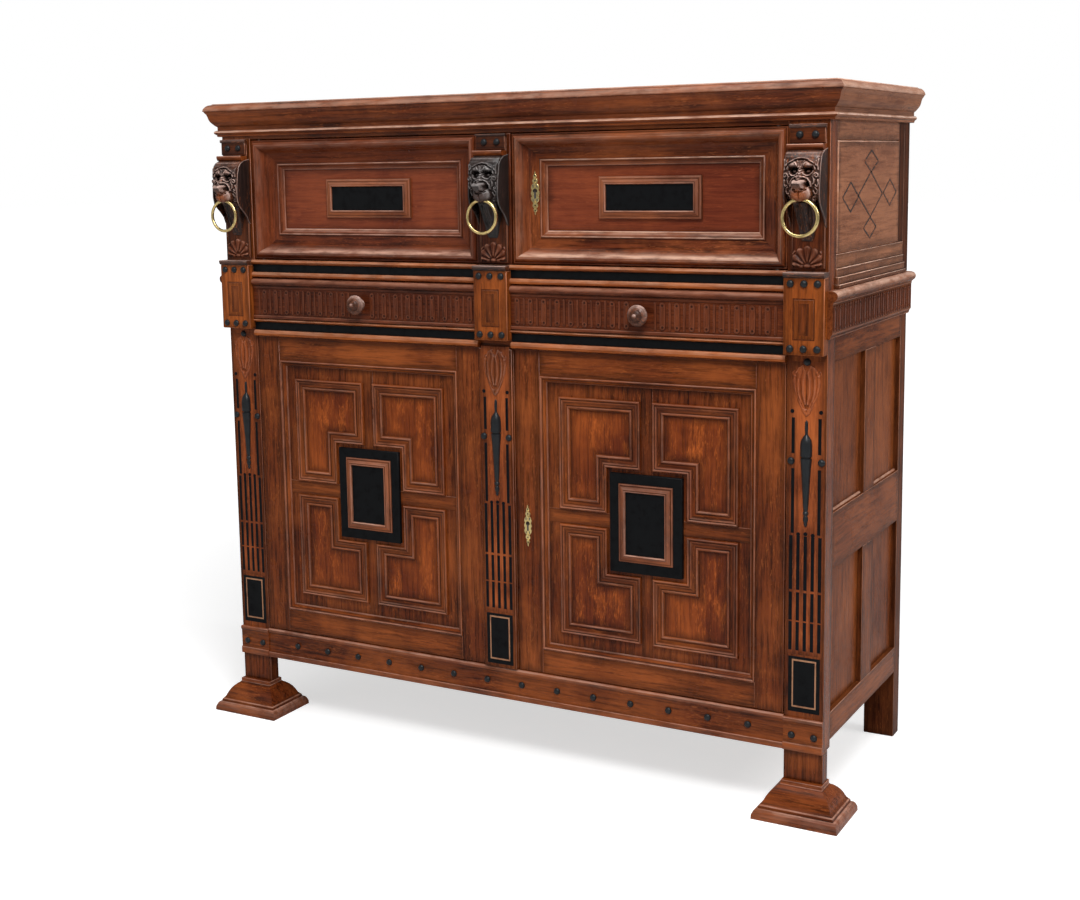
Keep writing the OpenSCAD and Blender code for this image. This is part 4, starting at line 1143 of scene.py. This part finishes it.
# %% Knobs
KNOB_LINE = [(13, 0, 0.3), (13.4, 1.6, 0.7), (12.6, 3.2, 0.5), (9.4, 5, -0.5), (8, 8, -0.4),
             (8.6, 11, 0), (13, 13.6, 0.3), (19, 16, 0.8), (22.6, 19.4, 1), (23, 22.4, 0.9),
             (21.4, 26, 0.5), (17.4, 29, 0.2), (14.4, 30, -0.7), (13.6, 31.4, -0.5),
             (12, 34.4, -0.6), (8, 36.6, -0.5), (5.2, 37.2, -0.3), (4.8, 38.4, 0.7), (3, 40.4, 1),
             (0.2, 41, 1)]
for sign, side_name in SIDES:
    knob = Stock()
    turn_on_lathe(knob, KNOB_LINE, (sign * KNOB_X, -11, 1045), 1, sides=40)
    assemble(f"{side_name}_knob_turned", knob, [lion_wood], f"{side_name}_drawer",
             [f"{side_name}_knob"], slot="dark_oak", soft=60, level=0.3)

# %% [markdown]
# ## Pilasters
# The upper pilasters are thin boards with a ledge and a small nail panel above the mask. The left
# one and the middle one are darker than the right one: their board faces are pulled further
# towards the dirt colour.

# %% Upper pilasters
LEDGE = [(0, 1382), (-20, 1382.4, -0.4), (-22, 1385), (-24, 1389, 0.6), (-24, 1392.6, 0.9),
         (-22.6, 1394, 0.4), (0, 1394)]
CAP = [(0, 1425), (-7, 1425.4, -0.3), (-8, 1428, 0.5), (-8, 1432, 0.7), (0, 1433)]


def upper_pilaster(stock, x, shade):
    for x0, x1, y0, y1, z0, z1, along, ease, tone in (
            (-36, 36, -6, 0, 1148, 1430, 2, 1.2, 0.35),
            (-35, -31, -7.6, -5, 1150, 1395, 2, 0.8, 0.5),
            (31, 35, -7.6, -5, 1150, 1395, 2, 0.8, 0.5),
            (-36, 36, -12, -6, 1396, 1428, 0, 1.2, 0.35)):
        board(stock, (x + x0, y0, z0), (x + x1, y1, z1), along, ease=ease, tone=tone, coat=2,
              face=shade)
    stick(stock, x - 37, x + 37, LEDGE, y=-6, tone=0.3)
    stick(stock, x - 38, x + 38, CAP, y=-6, tone=0.2, coat=1)


pair, single = Stock(), Stock()
for stock, x, shade in ((pair, -POST_X, -0.6), (pair, POST_X, -0.15), (single, 0, -0.6)):
    upper_pilaster(stock, x, shade)
single.points = [(x, y, min(z, UP_DOOR_TOP)) for x, y, z in single.points]
pilaster_woods = [oak, lion_wood, frame_oak]
assemble("upper_pilasters_cut", pair, pilaster_woods, "case", ["upper_pilasters"])
assemble("upper_middle_pilaster_cut", single, pilaster_woods, "upper_left_door",
         ["upper_pilaster"])

# %% [markdown]
# The lower pilasters are the posts themselves, inlaid with ebony: long stripes in three tiers, a
# black frame with a fine pale line at the foot, and two broader stripes beside the split spindle.
# Each inlay is a board that stands a hair proud of the post.

# %% Lower pilasters and inlay
def inlay(stock, x0, x1, z0, z1, y, coat=1, proud=0.5, tone=0.5):
    board(stock, (x0, y - proud, z0), (x1, y + 1, z1), 2, ease=0.25, coat=coat, tone=tone,
          worn=0.1)


SPINDLE = [(0.2, 0), (2.6, 3), (4, 6), (3, 9), (4.4, 12, 0.4), (5.6, 17, 0.6), (5.2, 21),
           (3.4, 24, -0.3), (5.6, 27, 0.7), (6.2, 31, 0.7), (4, 34, -0.3), (5, 38), (5.8, 48),
           (7.6, 82), (10, 120), (11.8, 140), (12, 143, 0.5), (9.4, 144.6, -0.3),
           (9.6, 146.4, 0.8), (12, 147.6, 0.6), (12.3, 152), (12.4, 170), (11.6, 177),
           (10, 182.6, 0.6), (6.4, 188, 0.9), (3.4, 192), (3, 196, -0.2), (3.6, 206), (3, 218),
           (0.2, 222)]
STRIPE_PITCH = 15.4


def lower_pilaster(stock, x, y):
    inlay(stock, x - 36, x + 36, 350, 962, y, coat=2, proud=0.25, tone=0.6)
    for left in (-31.5, 24.5):
        for z0, z1 in ((773, 847), (607, 742)):
            inlay(stock, x + left, x + left + 7, z0, z1, y)
    for z0, z1 in ((488, 602), (423, 483), (359, 420)):
        for k in range(-2, 3):
            middle = x + k * STRIPE_PITCH
            inlay(stock, middle - 3.7, middle + 3.7, z0, z1, y)
    inlay(stock, x - 34, x + 34, 227, 346, y)
    inlay(stock, x - 26, x + 26, 237, 340, y, coat=3, proud=0.8)
    inlay(stock, x - 23, x + 23, 240.5, 336.5, y, proud=1.1)
    for dx, z in ((-STRIPE_PITCH, 605.5), (0, 607), (STRIPE_PITCH, 605.5), (-30, 860), (30, 860)):
        turn_on_lathe(stock, [(4.2, 0), (4.2, 0.9), (0.2, 1)], (x + dx, y, z), 1, sides=14, coat=1)
    turn_on_lathe(stock, SPINDLE, (x, y, 621), 2, sides=28, half=True, coat=4)


inlay_woods = [oak, ebony, inlaid_oak, bone_line, turned_ebony]
low_pair, low_middle = Stock(), Stock()
board(low_middle, (-MEET_L, -9, LOW_DOOR), (MEET_L, 0, LOW_DOOR_TOP), 2, ease=1.5, tone=0.35)
for stock, x, y in ((low_pair, -POST_X, 0), (low_pair, POST_X, 0), (low_middle, 0, -9)):
    lower_pilaster(stock, x, y)
assemble("lower_pilasters_inlay", low_pair, inlay_woods, "case", ["post_carvings"], slot="ebony")
assemble("lower_middle_pilaster_cut", low_middle, inlay_woods, "lower_left_door",
         ["lower_pilaster"])

# %% [markdown]
# ## Carving
# A carver works into the face of a board, so carved work can be built as heights over a flat grid:
# broad forms first, then ridges laid along drawn curves, then pits. Comparing each height with a
# blurred copy finds the crests and hollows: the crests are painted pale with wear and a painted
# highlight, the hollows dark with dirt and painted shade.

# %% Carving tools
def ridge(x, z, line, width, height):
    near = np.full(x.shape, 1e9)
    for (x0, z0), (x1, z1) in zip(line[:-1], line[1:]):
        dx, dz = x1 - x0, z1 - z0
        t = np.clip(((x - x0) * dx + (z - z0) * dz) / (dx * dx + dz * dz + 1e-9), 0, 1)
        near = np.minimum(near, np.hypot(x - x0 - t * dx, z - z0 - t * dz))
    return height * np.exp(-((near / width) ** 2))


def dome_at(x, z, cx, cz, rx, rz, height, power=0.5):
    left = np.clip(1 - ((x - cx) / rx) ** 2 - ((z - cz) / rz) ** 2, 0, 1)
    return height * left ** power


def curl(cx, cz, r0, r1, a0, a1, steps=22, tall=1.0):
    line = []
    for i in range(steps + 1):
        t = i / steps
        r, a = r0 + (r1 - r0) * t, math.radians(a0 + (a1 - a0) * t)
        line.append((cx + r * math.cos(a), cz + tall * r * math.sin(a)))
    return line


def blur(grid, times):
    for _ in range(times):
        p = np.pad(grid, 1, mode="edge")
        grid = (p[1:-1, :-2] + p[1:-1, 2:] + p[:-2, 1:-1] + p[2:, 1:-1]) / 4
    return grid


def hump(x, z, cx, cz, rx, rz, power=2):
    return np.exp(-(((x - cx) / rx) ** power + ((z - cz) / rz) ** power))


def carve(stock, cx, face_y, half, z0, z1, form, cell=0.8, tone=0.5, coat=0, rub_and_light=0.5,
          wear_and_shade_marks=None):
    nx, nz = int(2 * half / cell) + 1, int((z1 - z0) / cell) + 1
    x, z = np.meshgrid(np.linspace(-half, half, nx), np.linspace(z0, z1, nz))
    high = form(x, z)
    crest = np.clip((high - blur(high, 12)) * rub_and_light, -1, 1)
    if wear_and_shade_marks:
        crest = np.clip(wear_and_shade_marks(x, z, crest), -1, 1)
    shade = tone(x, z) if callable(tone) else np.full(x.shape, tone)
    points = np.stack([cx + x, face_y - high, z], -1).reshape(-1, 3).tolist()
    faces = [(a, a + 1, a + 1 + nx, a + nx) for j in range(nz - 1)
             for a in range(j * nx, j * nx + nx - 1)]
    rim = [*range(nx), *range(2 * nx - 1, nz * nx, nx), *range(nz * nx - 2, (nz - 1) * nx - 1, -1),
           *range((nz - 2) * nx, 0, -nx)]
    base, n = len(points), len(rim)
    points += [(points[k][0], face_y + 1, points[k][2]) for k in rim]
    faces += [(rim[k], rim[(k + 1) % n], base + (k + 1) % n, base + k) for k in range(n)]
    faces.append(range(base, base + n))
    wear = ((crest[:-1, :-1] + crest[1:, 1:]) / 2).ravel().tolist() + [0.0] * (n + 1)
    tones = shade[:-1, :-1].ravel().tolist() + [0.4] * (n + 1)
    stock.add(points, faces, 2, wear, tones, coat)


def carved(name, stock, finishes, body, stands_for=(), level=0.6):
    assemble(name, stock, finishes, body, stands_for, slot="dark_oak", soft=75, level=level)


# %% [markdown]
# ### Lion masks
# Three lion masks hold the rings. Each has a smooth band over the brow, curling eyebrows over deep
# eyes, a wrinkled nose, a heavy muzzle worn red by hands, whisker scrolls and locks of mane.
# Symmetric work is drawn once and mirrored, as a carver pricks one half of a drawing through.

# %% Lion face
LOCKS = (([(5, 1349), (9, 1358), (16, 1361.5), (23, 1358.5), (27, 1351), (28, 1345)], 1.7, 4.0),
         ([(2.4, 1350), (4.4, 1357), (8, 1362)], 1.5, 3.0),
         (curl(14.6, 1341.5, 9.4, 8.6, 205, 330), 1.5, 4.5),
         ([(4.5, 1331), (9, 1330.5), (15, 1327), (20, 1320), (21, 1312)], 2.3, 8.0),
         ([(9, 1324), (14, 1321), (17, 1314), (16.5, 1308)], 1.8, 7.0),
         ([(24, 1331), (27, 1325), (26, 1318), (22.5, 1315)], 1.8, 5.5),
         (curl(31, 1333, 5.4, 1.2, 200, -260), 1.7, 6.0),
         ([(34.5, 1364), (33, 1354), (34.4, 1344)], 1.8, 4.0),
         ([(30, 1361), (30.5, 1353), (29.5, 1347)], 1.4, 3.0),
         ([(34, 1324), (35, 1317), (32, 1311), (29, 1314)], 1.8, 5.5),
         ([(28, 1310), (32, 1304), (30, 1297), (26, 1298)], 1.9, 5.5),
         ([(24, 1303), (27.5, 1296), (25, 1290), (22, 1291)], 1.7, 5.0),
         ([(20, 1290), (22, 1284), (18, 1279), (15, 1281)], 1.8, 5.0))


def lion_face(x, z):
    m = np.abs(x)
    # The dome of the head, its ragged lower edge, and the band over the brow
    base = np.interp(z, [1270, 1276, 1284, 1296, 1310, 1322, 1336, 1350, 1362, 1370, 1377, 1382,
                         1385], [16, 26, 35, 42, 48, 51, 52, 51, 50, 47, 40, 27, 20])
    base = base - 5 * (m / 36) ** 4
    edge = np.interp(z, [1270, 1280, 1292, 1306], [14, 19, 29, 37])
    base = np.where(m > edge, np.maximum(base - (m - edge) * 6, 0), base)
    arch = [(0, 1367.5), (8, 1366.6), (16, 1363.8), (24, 1359), (31, 1352)]
    base += ridge(m, z, arch, 1.8, 2.2) - ridge(m, z, [(a, b - 3.6) for a, b in arch], 1.5, 3.4)
    # Brows and eyes, then the locks of brow, cheek and mane
    base += dome_at(m, z, 14.5, 1353.5, 10.5, 7, 8, 0.75)
    base -= ridge(m, z, [(8, 1345), (15, 1347), (22, 1345)], 3.0, 6)
    base -= dome_at(m, z, 14.5, 1341.5, 8.5, 7, 10, 0.6)
    base += dome_at(m, z, 14, 1341.5, 4.6, 4.4, 8, 0.6)
    base += np.max([ridge(m, z, *lock) for lock in LOCKS], axis=0)
    # The bridge of the nose with its wrinkles
    bridge = np.interp(z, [1300, 1306, 1320, 1328, 1338, 1350, 1358], [0, 26, 30, 20, 12, 7, 0])
    base += bridge * np.exp(-(m / np.interp(z, [1318, 1332, 1346], [8.5, 6.5, 5.0])) ** 2)
    for down in (1346, 1341, 1336, 1331):
        base -= ridge(m, z, [(0, down - 2), (7, down + 2)], 0.9, 2.6)
    # The ball of the muzzle with its lips and whisker holes
    swell = np.clip(1 - (m / 20.5) ** 2.6 - (np.abs(z - 1298.5) / 16) ** 2.6, 0, 1)
    ball = 49 + 18 * swell ** 0.4 - ridge(x, z, [(0, 1304), (0, 1282)], 1.0, 3.4)
    ball += dome_at(m, z, 9.5, 1296, 9, 9, 2.6, 0.8)
    ball -= ridge(m, z, [(0, 1303), (6, 1302), (14, 1306)], 1.1, 4.0)
    for px, pz in ((8, 1297), (13, 1299), (11, 1293)):
        ball -= dome_at(m, z, px, pz, 1.0, 1.0, 1.4, 0.6)
    base = np.where(swell > 0, np.maximum(base, ball), base)
    # The nose, and the nostrils and hollows beside it
    nose = np.interp(z, [1301, 1303, 1305.5, 1318, 1321.5, 1325], [60, 69, 73.5, 84, 83, 74])
    nose = nose - np.maximum(m - 7.5, 0) ** 1.5 * 1.6
    base = np.where((m < 13) & (z > 1301) & (z < 1325), np.maximum(base, nose), base)
    base -= dome_at(m, z, 7.2, 1306.5, 3.2, 2.8, 10, 0.6)
    base -= dome_at(m, z, 14.5, 1316, 4.2, 5.4, 13, 0.6)
    return np.clip(base, 0, 84)


def lion_tone(x, z):
    return 0.25 + 1.25 * hump(x, z, 0, 1295, 17, 13)


def lion_wear_and_shade(x, z, crest):
    # Pale wear and painted highlight on the nose facet, snarl folds and brows; painted shade in
    # the eye hollows, beside the nose and under the chin.
    m = np.abs(x)
    rubbed_and_lit = 0.75 * hump(m, z, 0, 1313, 8, 8.5, 4) + 0.35 * hump(m, z, 11, 1328, 7, 3.5)
    rubbed_and_lit += 0.3 * hump(m, z, 14.5, 1355, 7, 4)
    dark = 0.8 * hump(m, z, 15, 1343, 6, 4.5) + 0.7 * hump(m, z, 14.5, 1316, 4, 5)
    dark += 0.7 * np.clip((1283 - z) / 6, 0, 1)
    return crest * (1 - 0.85 * hump(m, z, 0, 1294, 16, 9.5, 4)) + rubbed_and_lit - dark


# %% [markdown]
# Under the chin a bracket with a hanging tongue carries the mask, and a scroll-cut cheek board
# closes the mask on either side.

# %% Lions
SCROLL = [(0, 1386), (-20, 1382.5), (-32, 1376.5), (-40, 1367), (-44.5, 1351), (-47.5, 1332),
          (-49.5, 1314), (-50, 1296), (-46, 1280), (-36, 1268), (-24, 1258), (-13, 1246),
          (-7, 1232), (0, 1229)]


def tongue_bracket(x, z):
    m = np.abs(x)
    depth = np.interp(z, [1204, 1212, 1230, 1248, 1256, 1266, 1280], [1, 6, 15, 23, 30, 36, 40])
    wide = np.interp(z, [1204, 1225, 1240, 1262, 1280], [5, 8, 8, 11, 14])
    middle = depth * np.clip(1 - (m / wide) ** 2, 0, 1) ** 0.4
    plate = np.interp(z, [1200, 1207, 1240, 1275, 1280], [0, 4, 11, 24, 28])
    plate_wide = np.interp(z, [1200, 1210, 1240, 1280], [9, 13, 18, 23])
    plate = np.where(m < plate_wide, plate, np.maximum(plate - (m - plate_wide) * 8, 0))
    high = np.maximum(middle, plate)
    for line in ([(0, 1272), (0, 1236)], [(4.5, 1270), (4, 1240)]):
        high -= ridge(m, z, line, 1.1, 2.4)
    return high + ridge(m, z, [(14, 1272), (17, 1258), (15, 1240), (10, 1228)], 2.2, 3.0) - 0.8


def lion(stock, cx, y=-0.2):
    carve(stock, cx, y, 36.8, 1271, 1384.5, lion_face, cell=0.72, tone=lion_tone, rub_and_light=0.55,
          wear_and_shade_marks=lion_wear_and_shade)
    # The bracket is darkened all over: painted shade under the chin and behind the ring.
    carve(stock, cx, y - 6, 24, 1203, 1280, tongue_bracket, cell=1.0, tone=0.1, rub_and_light=0.1,
          wear_and_shade_marks=lambda x, z, crest: crest - 0.4)
    n = len(SCROLL)
    for s in (-1, 1):
        points = [(cx + s * reach, depth, z) for reach in (34.5, 36.6) for depth, z in SCROLL]
        points += [(cx + s * 37.8, depth * 0.97, 1320 + (z - 1320) * 0.98) for depth, z in SCROLL]
        stock.add(points, skin(3, n) + [range(n), range(2 * n, 3 * n)], 2,
                  [0.05] * n + [0.55] * n + [0, -0.55], 0.1)


masks, mask = Stock(), Stock()
for stock, x in ((masks, -POST_X), (masks, POST_X), (mask, 0)):
    lion(stock, x)
carved("corner_lions_carved", masks, [lion_wood], "case", ["side_lions"])
carved("middle_lion_carved", mask, [black_lion_wood], "upper_left_door", ["middle_lion"])

# %% [markdown]
# ### Leaves
# Under every ring is a shell of seven leaflets, and at the head of every lower post a tulip with a
# pierced foot. Both are low relief, so their ground stays at the face of the board.

# %% Shell and tulip
def shell(x, z):
    m = np.abs(x)
    r, a = np.hypot(x, z - 1153), np.degrees(np.arctan2(x, z - 1153))
    lobe = np.abs(((a + 14) % 28) - 14) / 14
    tip = 42 - 9 * (np.abs(a) / 80) ** 2 - 5.5 * lobe ** 2
    high = np.clip((tip - r) / 3.0, 0, 1) ** 0.5 * (5.2 - 3.6 * lobe ** 1.6)
    high = np.where(np.abs(a) < 84, high * np.clip(r / 12, 0.35, 1), 0)
    high -= ridge(x, z, [(0, 1160), (0, 1190)], 0.8, 1.2)
    for pearl in ((0, 1154, 8, 5, 5.5), (13, 1153.5, 6, 4.5, 4.6), (23, 1156, 5, 4.2, 4.0)):
        high = np.maximum(high, dome_at(m, z, *pearl))
    high = np.maximum(high, ridge(m, z, curl(20, 1172, 9, 12, -60, 60), 1.4, 3.0))
    return high - 0.35


def tulip(x, z):
    m = np.abs(x)
    cup = np.interp(z, [850, 856, 868, 882, 902, 922, 938, 950, 956],
                    [1, 7, 13, 19, 26, 30, 27, 19, 8])
    top = 944 - 10 * np.cos(m / 30 * math.pi * 2.5) * (m < 30)
    inside = np.clip((cup - m) / 3.2, 0, 1) ** 0.6 * np.clip((top + 8 - z) / 4, 0, 1) ** 0.6
    high = 3.2 * inside
    for line, width, height in (([(0, 860), (0, 935)], 1.3, -2.0),
                                ([(3, 866), (12, 895), (13, 925), (9, 945)], 1.4, -2.3),
                                ([(7, 868), (19, 893), (22, 915), (20, 938)], 1.3, -2.1),
                                ([(1, 872), (7, 898), (6.5, 925), (2, 942)], 2.2, 1.8),
                                ([(13, 880), (17, 900), (17.5, 925)], 2.0, 1.6)):
        high += ridge(m, z, line, width, height) * inside
    high += ridge(m, z, curl(24, 938, 6, 3, -90, 160), 1.5, 1.6)
    high = np.where((m / 4.4) ** 2 + ((z - 870) / 5.5) ** 2 < 1, 0.5, high)
    return high - 0.3


def carve_shell(stock, x, tone):
    carve(stock, x, -6, 31, 1149.5, 1198, shell, cell=0.9, tone=tone, rub_and_light=0.8)


def carve_tulip(stock, x, y, **more):
    carve(stock, x, y, 33, 850, 957, tulip, cell=1.0, rub_and_light=0.22, **more)


leaves, leaf, flower = Stock(), Stock(), Stock()
for x in (-POST_X, POST_X):
    carve_shell(leaves, x, 0.4)
    carve_tulip(leaves, x, -0.2, tone=0.45, coat=1)
carve_shell(leaf, 0, 0.3)
carve_tulip(flower, 0, -9.2, tone=0.4)
carved("corner_leaves_carved", leaves, [carved_oak, inlaid_oak], "case", level=0.8)
carved("upper_middle_leaf_carved", leaf, [carved_oak], "upper_left_door", level=0.8)
carved("lower_middle_tulip_carved", flower, [frame_oak], "lower_left_door", level=0.8)

# %% [markdown]
# ### Rings
# The rings are cast and filed brass, so they are not perfectly round in section: a gentle flat
# shows inside. They hang in the mouths and swing.

# %% Rings
RING_Y, RING_Z, RING_RADIUS, ROD_RADIUS = -55, 1251.25, 35.75, 3.75


def brass_ring(side_name, cx, rounds=72, sides=16):
    stock = Stock()
    points = []
    for a, b in itertools.product([2 * math.pi * i / rounds for i in range(rounds)],
                                  [2 * math.pi * k / sides for k in range(sides)]):
        rod = ROD_RADIUS * (1 - 0.07 * max(0, -math.cos(b)) ** 4)
        r = RING_RADIUS + rod * math.cos(b)
        points.append((cx + r * math.sin(a), RING_Y + 3.7 * math.sin(b), RING_Z + r * math.cos(a)))
    stock.add(points, skin(rounds, sides, loop=True), 2, 0.3)
    assemble(f"{side_name}_ring_cast", stock, [brass], f"{side_name}_ring", [f"{side_name}_ring"],
             slot="brass", soft=80, level=0.8)


for side_name, cx in (("left", -POST_X), ("middle", 0), ("right", POST_X)):
    brass_ring(side_name, cx)

# %% [markdown]
# ### Key plates
# The pierced brass plates are long and leafy: a keyhole in the middle, scrolls above and below and
# a point at each end. A closed outline is enough, given a rounded edge.

# %% Key plates
PLATE_HALF = [(0, 49), (1.6, 45), (1.2, 42), (3.4, 40), (4.6, 37), (3.2, 34.4), (2.2, 33),
              (4.8, 31), (6.6, 27.6), (5.6, 24), (3.4, 22), (6.4, 19.6), (9.2, 15), (9.6, 10),
              (7.6, 6.4), (9.4, 3), (10.2, 0)]
PLATE_LAYERS = [(1.0, 0.6), (1.0, -0.7), (0.93, -1.5), (0.72, -1.7)]


def key_plate(stock, cx, y, cz, lean=0.0):
    outline = PLATE_HALF + [(x, -z) for x, z in PLATE_HALF[-2::-1]]
    ring = outline + [(-x, z) for x, z in outline[-2:0:-1]]
    n = len(ring)
    points = [(cx + x * s, y + d, cz + z * (1 - (1 - s) * 0.25)) for s, d in PLATE_LAYERS
              for x, z in ring]
    stock.add(points, skin(4, n) + [range(n), range(3 * n, 4 * n)], 2, 0.2)
    shaded_keyhole = [(4.9, 1.5, -1), (4.9, 2.0, -1), (0.1, 2.1, -1)]
    shaded_pit = [(1.7, 1.5, -1), (1.7, 1.95, -1), (0.1, 2.0, -1)]
    pin = [(2.6, 1.5, 0.5), (2.2, 2.8, 0.8), (0.1, 3.2, 0.8)]
    # The keyhole, the slots and the pits are dark iron standing for the shaded openings of the
    # piercing: painted shade.
    turn_on_lathe(stock, shaded_keyhole, (cx, y, cz + 5), 1, sides=16, coat=1)
    shaded_slots = [(0, -4, 2.2, 8, 2.05)]
    shaded_slots += [(dx, dz, 1.1, 3, 2.0) for dz in (-15.5, 15.5) for dx in (-4.4, 4.4)]
    for dx, dz, wide, tall, proud in shaded_slots:
        board(stock, (cx + dx - wide, y - proud, cz + dz - tall),
              (cx + dx + wide, y, cz + dz + tall), ease=0.2, coat=1)
    for line, places, sides, coat in ((shaded_pit, (-38, -27, 27, 38), 10, 1),
                                      (pin, (-32.5, -21, 21, 32.5), 12, 0)):
        for dz in places:
            turn_on_lathe(stock, line, (cx, y, cz + dz), 1, sides=sides, coat=coat)
    stock.points = [(px, py + lean * (px - cx), pz) for px, py, pz in stock.points]


for tier, cx, y, cz, lean in (("lower", 73, 0, 558.5, 0), ("upper", 89.5, 26.6, 1300, 0.26)):
    plate = Stock()
    key_plate(plate, cx, y, cz, lean)
    assemble(f"{tier}_key_plate", plate, [brass, iron], f"{tier}_right_door",
             [f"{tier}_escutcheon"], slot="brass", level=0.8)

# %% [markdown]
# ### Diamonds on the upper sides
# Fine dark lines are let into the upper side panels: one large diamond and four small ones at its
# corners. Each line is a thin strip laid almost flush.

# %% Diamonds
def strip(stock, sx, a, b, width=4.2):
    (y0, z0), (y1, z1) = a, b
    length = math.dist(a, b)
    ny, nz = -(z1 - z0) / length * width / 2, (y1 - y0) / length * width / 2
    corners = [(y0 + ny, z0 + nz), (y1 + ny, z1 + nz), (y1 - ny, z1 - nz), (y0 - ny, z0 - nz)]
    points = [(sx * x, y, z) for x in (764.3, 762) for y, z in corners]
    stock.add(points, [range(4), range(4, 8)] + skin(2, 4), 1, -0.4, 0.2)


diamonds = Stock()
for s in (-1, 1):
    for cy, cz, dy, dz in ((267, 1288, 87, 47), (270, 1357.5, 50, 22.5), (265, 1218.5, 46, 22),
                           (128, 1286, 54, 30), (411, 1289, 51, 28)):
        tips = [(cy - dy, cz), (cy, cz + dz), (cy + dy, cz), (cy, cz - dz)]
        for i in range(4):
            strip(diamonds, s, tips[i], tips[(i + 1) % 4])
assemble("side_diamonds_inlaid", diamonds, [lion_wood], "case", slot="ebony")

# %% [markdown]
# ## Inside the case
# Shelves, runners and the boards of the back are plain rectangles on the real thing too, so the
# solids of the frame are kept and only get a finish: dry unwaxed oak, running along or upright.
# The pins, locks and bolts are black iron.

# %% Inner boards and iron
def finish_solids(names, finish):
    for name in names:
        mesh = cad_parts[name].data
        mesh.materials.clear()
        mesh.materials.append(finish)
    print(len(names), "solids in", finish.name)


finish_solids(["bottom_board", "shelf", "dust_board", "upper_floor", "ceiling_board"],
              plain_boards)
finish_solids(["back_boards"], plain_planks)
finish_solids(["shelf_cleats", "drawer_guides"], plain_runners)
finish_solids(["pivot_pins"] + [f"{tier}_{part}" for tier in ("lower", "upper") for part in
                                ("lock", "lock_bolt", "left_bolt", "left_keepers")], iron)
plain_left = [name for name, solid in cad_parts.items()
              if not solid.hide_render and not solid.data.materials[0].use_nodes]
print("solids without a finish:", plain_left)

# %% [markdown]
# ## Light and ground
# The room is lit as by daylight through large windows. The world and the floor show white to the
# camera, by asking the light path what kind of ray is looking, so the background can be white
# while the wood is lit plainly.

# %% World
MIRRORED, ROOM_LIGHT, SEEN_LIGHT = 0.12, 0.22, 1.0


def seen_straight(tree):
    """The light path, and a mask that is 1 for the camera and low for what wax mirrors."""
    path = step(tree, "ShaderNodeLightPath").outputs
    return path, sums(tree, "MAXIMUM", path["Is Camera Ray"],
                      times(tree, path["Is Glossy Ray"], MIRRORED))


def white_studio():
    world = bpy.data.worlds.new("studio")
    world.use_nodes = True
    bpy.context.scene.world = world
    tree = world.node_tree
    room, seen = tree.nodes["Background"], step(tree, "ShaderNodeBackground")
    path, looks = seen_straight(tree)
    looks = sums(tree, "MAXIMUM", looks, path["Is Transmission Ray"])
    mix = step(tree, "ShaderNodeMixShader")
    for light, strength in ((room, ROOM_LIGHT), (seen, SEEN_LIGHT)):
        set_inputs(light.inputs, {"Color": (1, 1, 1), "Strength": strength})
    fill(tree, mix.inputs, (looks, room.outputs[0], seen.outputs[0]))
    wire(tree, mix.outputs[0], tree.nodes["World Output"].inputs[0])


white_studio()
print("world: strength", ROOM_LIGHT, "on the wood,", SEEN_LIGHT, "to the camera")

# %% [markdown]
# Four square lamps: the key from the right front, a broad one overhead, one at the right that
# strikes the side, and a weak fill from the left. Big lamps give the soft edges of window light.

# %% Lamps
def soft_light(name, place, aim, size, power):
    data = bpy.data.lights.new(name, "AREA")
    data.shape, data.size, data.energy = "SQUARE", size, power
    lamp = add_object(name, data)
    lamp.location = place
    lamp.rotation_mode = "QUATERNION"
    lamp.rotation_quaternion = (Vector(aim) - Vector(place)).to_track_quat("-Z", "Y")
    print("lamp", name, "at", place, "with", power, "W")


for lamp in (("key", (1.9, -2.6, 4.0), (0.2, 0, 0.8), 1.3, 120),
             ("top", (0.2, -1.0, 4.2), (0, 0, 0.9), 2.2, 55),
             ("side", (4.0, 0.4, 3.0), (0.7, 0, 0.9), 1.4, 55),
             ("fill", (-2.6, -3.4, 1.8), (0, 0, 0.7), 2.4, 12)):
    soft_light(*lamp)

# %% [markdown]
# The floor is a plain pale sheet. Its glow grows with the distance, so it melts into the white
# background and still shows the soft shadow under the case.

# %% Floor
GLOW_NEAR, GLOW_FAR = (1.4, 0.6), (4.5, 1.0)


def pale_floor(reach=40):
    mesh = bpy.data.meshes.new("floor")
    mesh.from_pydata([(reach * x, reach * y, 0) for x, y in ((-1, -1), (1, -1), (1, 1), (-1, 1))],
                     [], [range(4)])
    finish = bpy.data.materials.new("pale floor")
    finish.use_nodes = True
    tree = finish.node_tree
    shader = tree.nodes["Principled BSDF"].inputs
    set_inputs(shader, {"Base Color": (0.72, 0.72, 0.72), "Roughness": 0.9,
                        "Specular IOR Level": 0.0, "Emission Color": (1, 1, 1)})
    place = step(tree, "ShaderNodeTexCoord")
    distance = step(tree, "ShaderNodeVectorMath", operation="LENGTH")
    wire(tree, place.outputs["Object"], distance.inputs[0])
    (near, dim), (far, bright) = GLOW_NEAR, GLOW_FAR
    glow = spread(tree, distance.outputs["Value"], near, far, dim, bright)
    _, looks = seen_straight(tree)
    wire(tree, times(tree, looks, glow), shader["Emission Strength"])
    mesh.materials.append(finish)
    add_object("floor", mesh)


pale_floor()
print("floor at height 0; it is white from", GLOW_FAR[0], "m on")
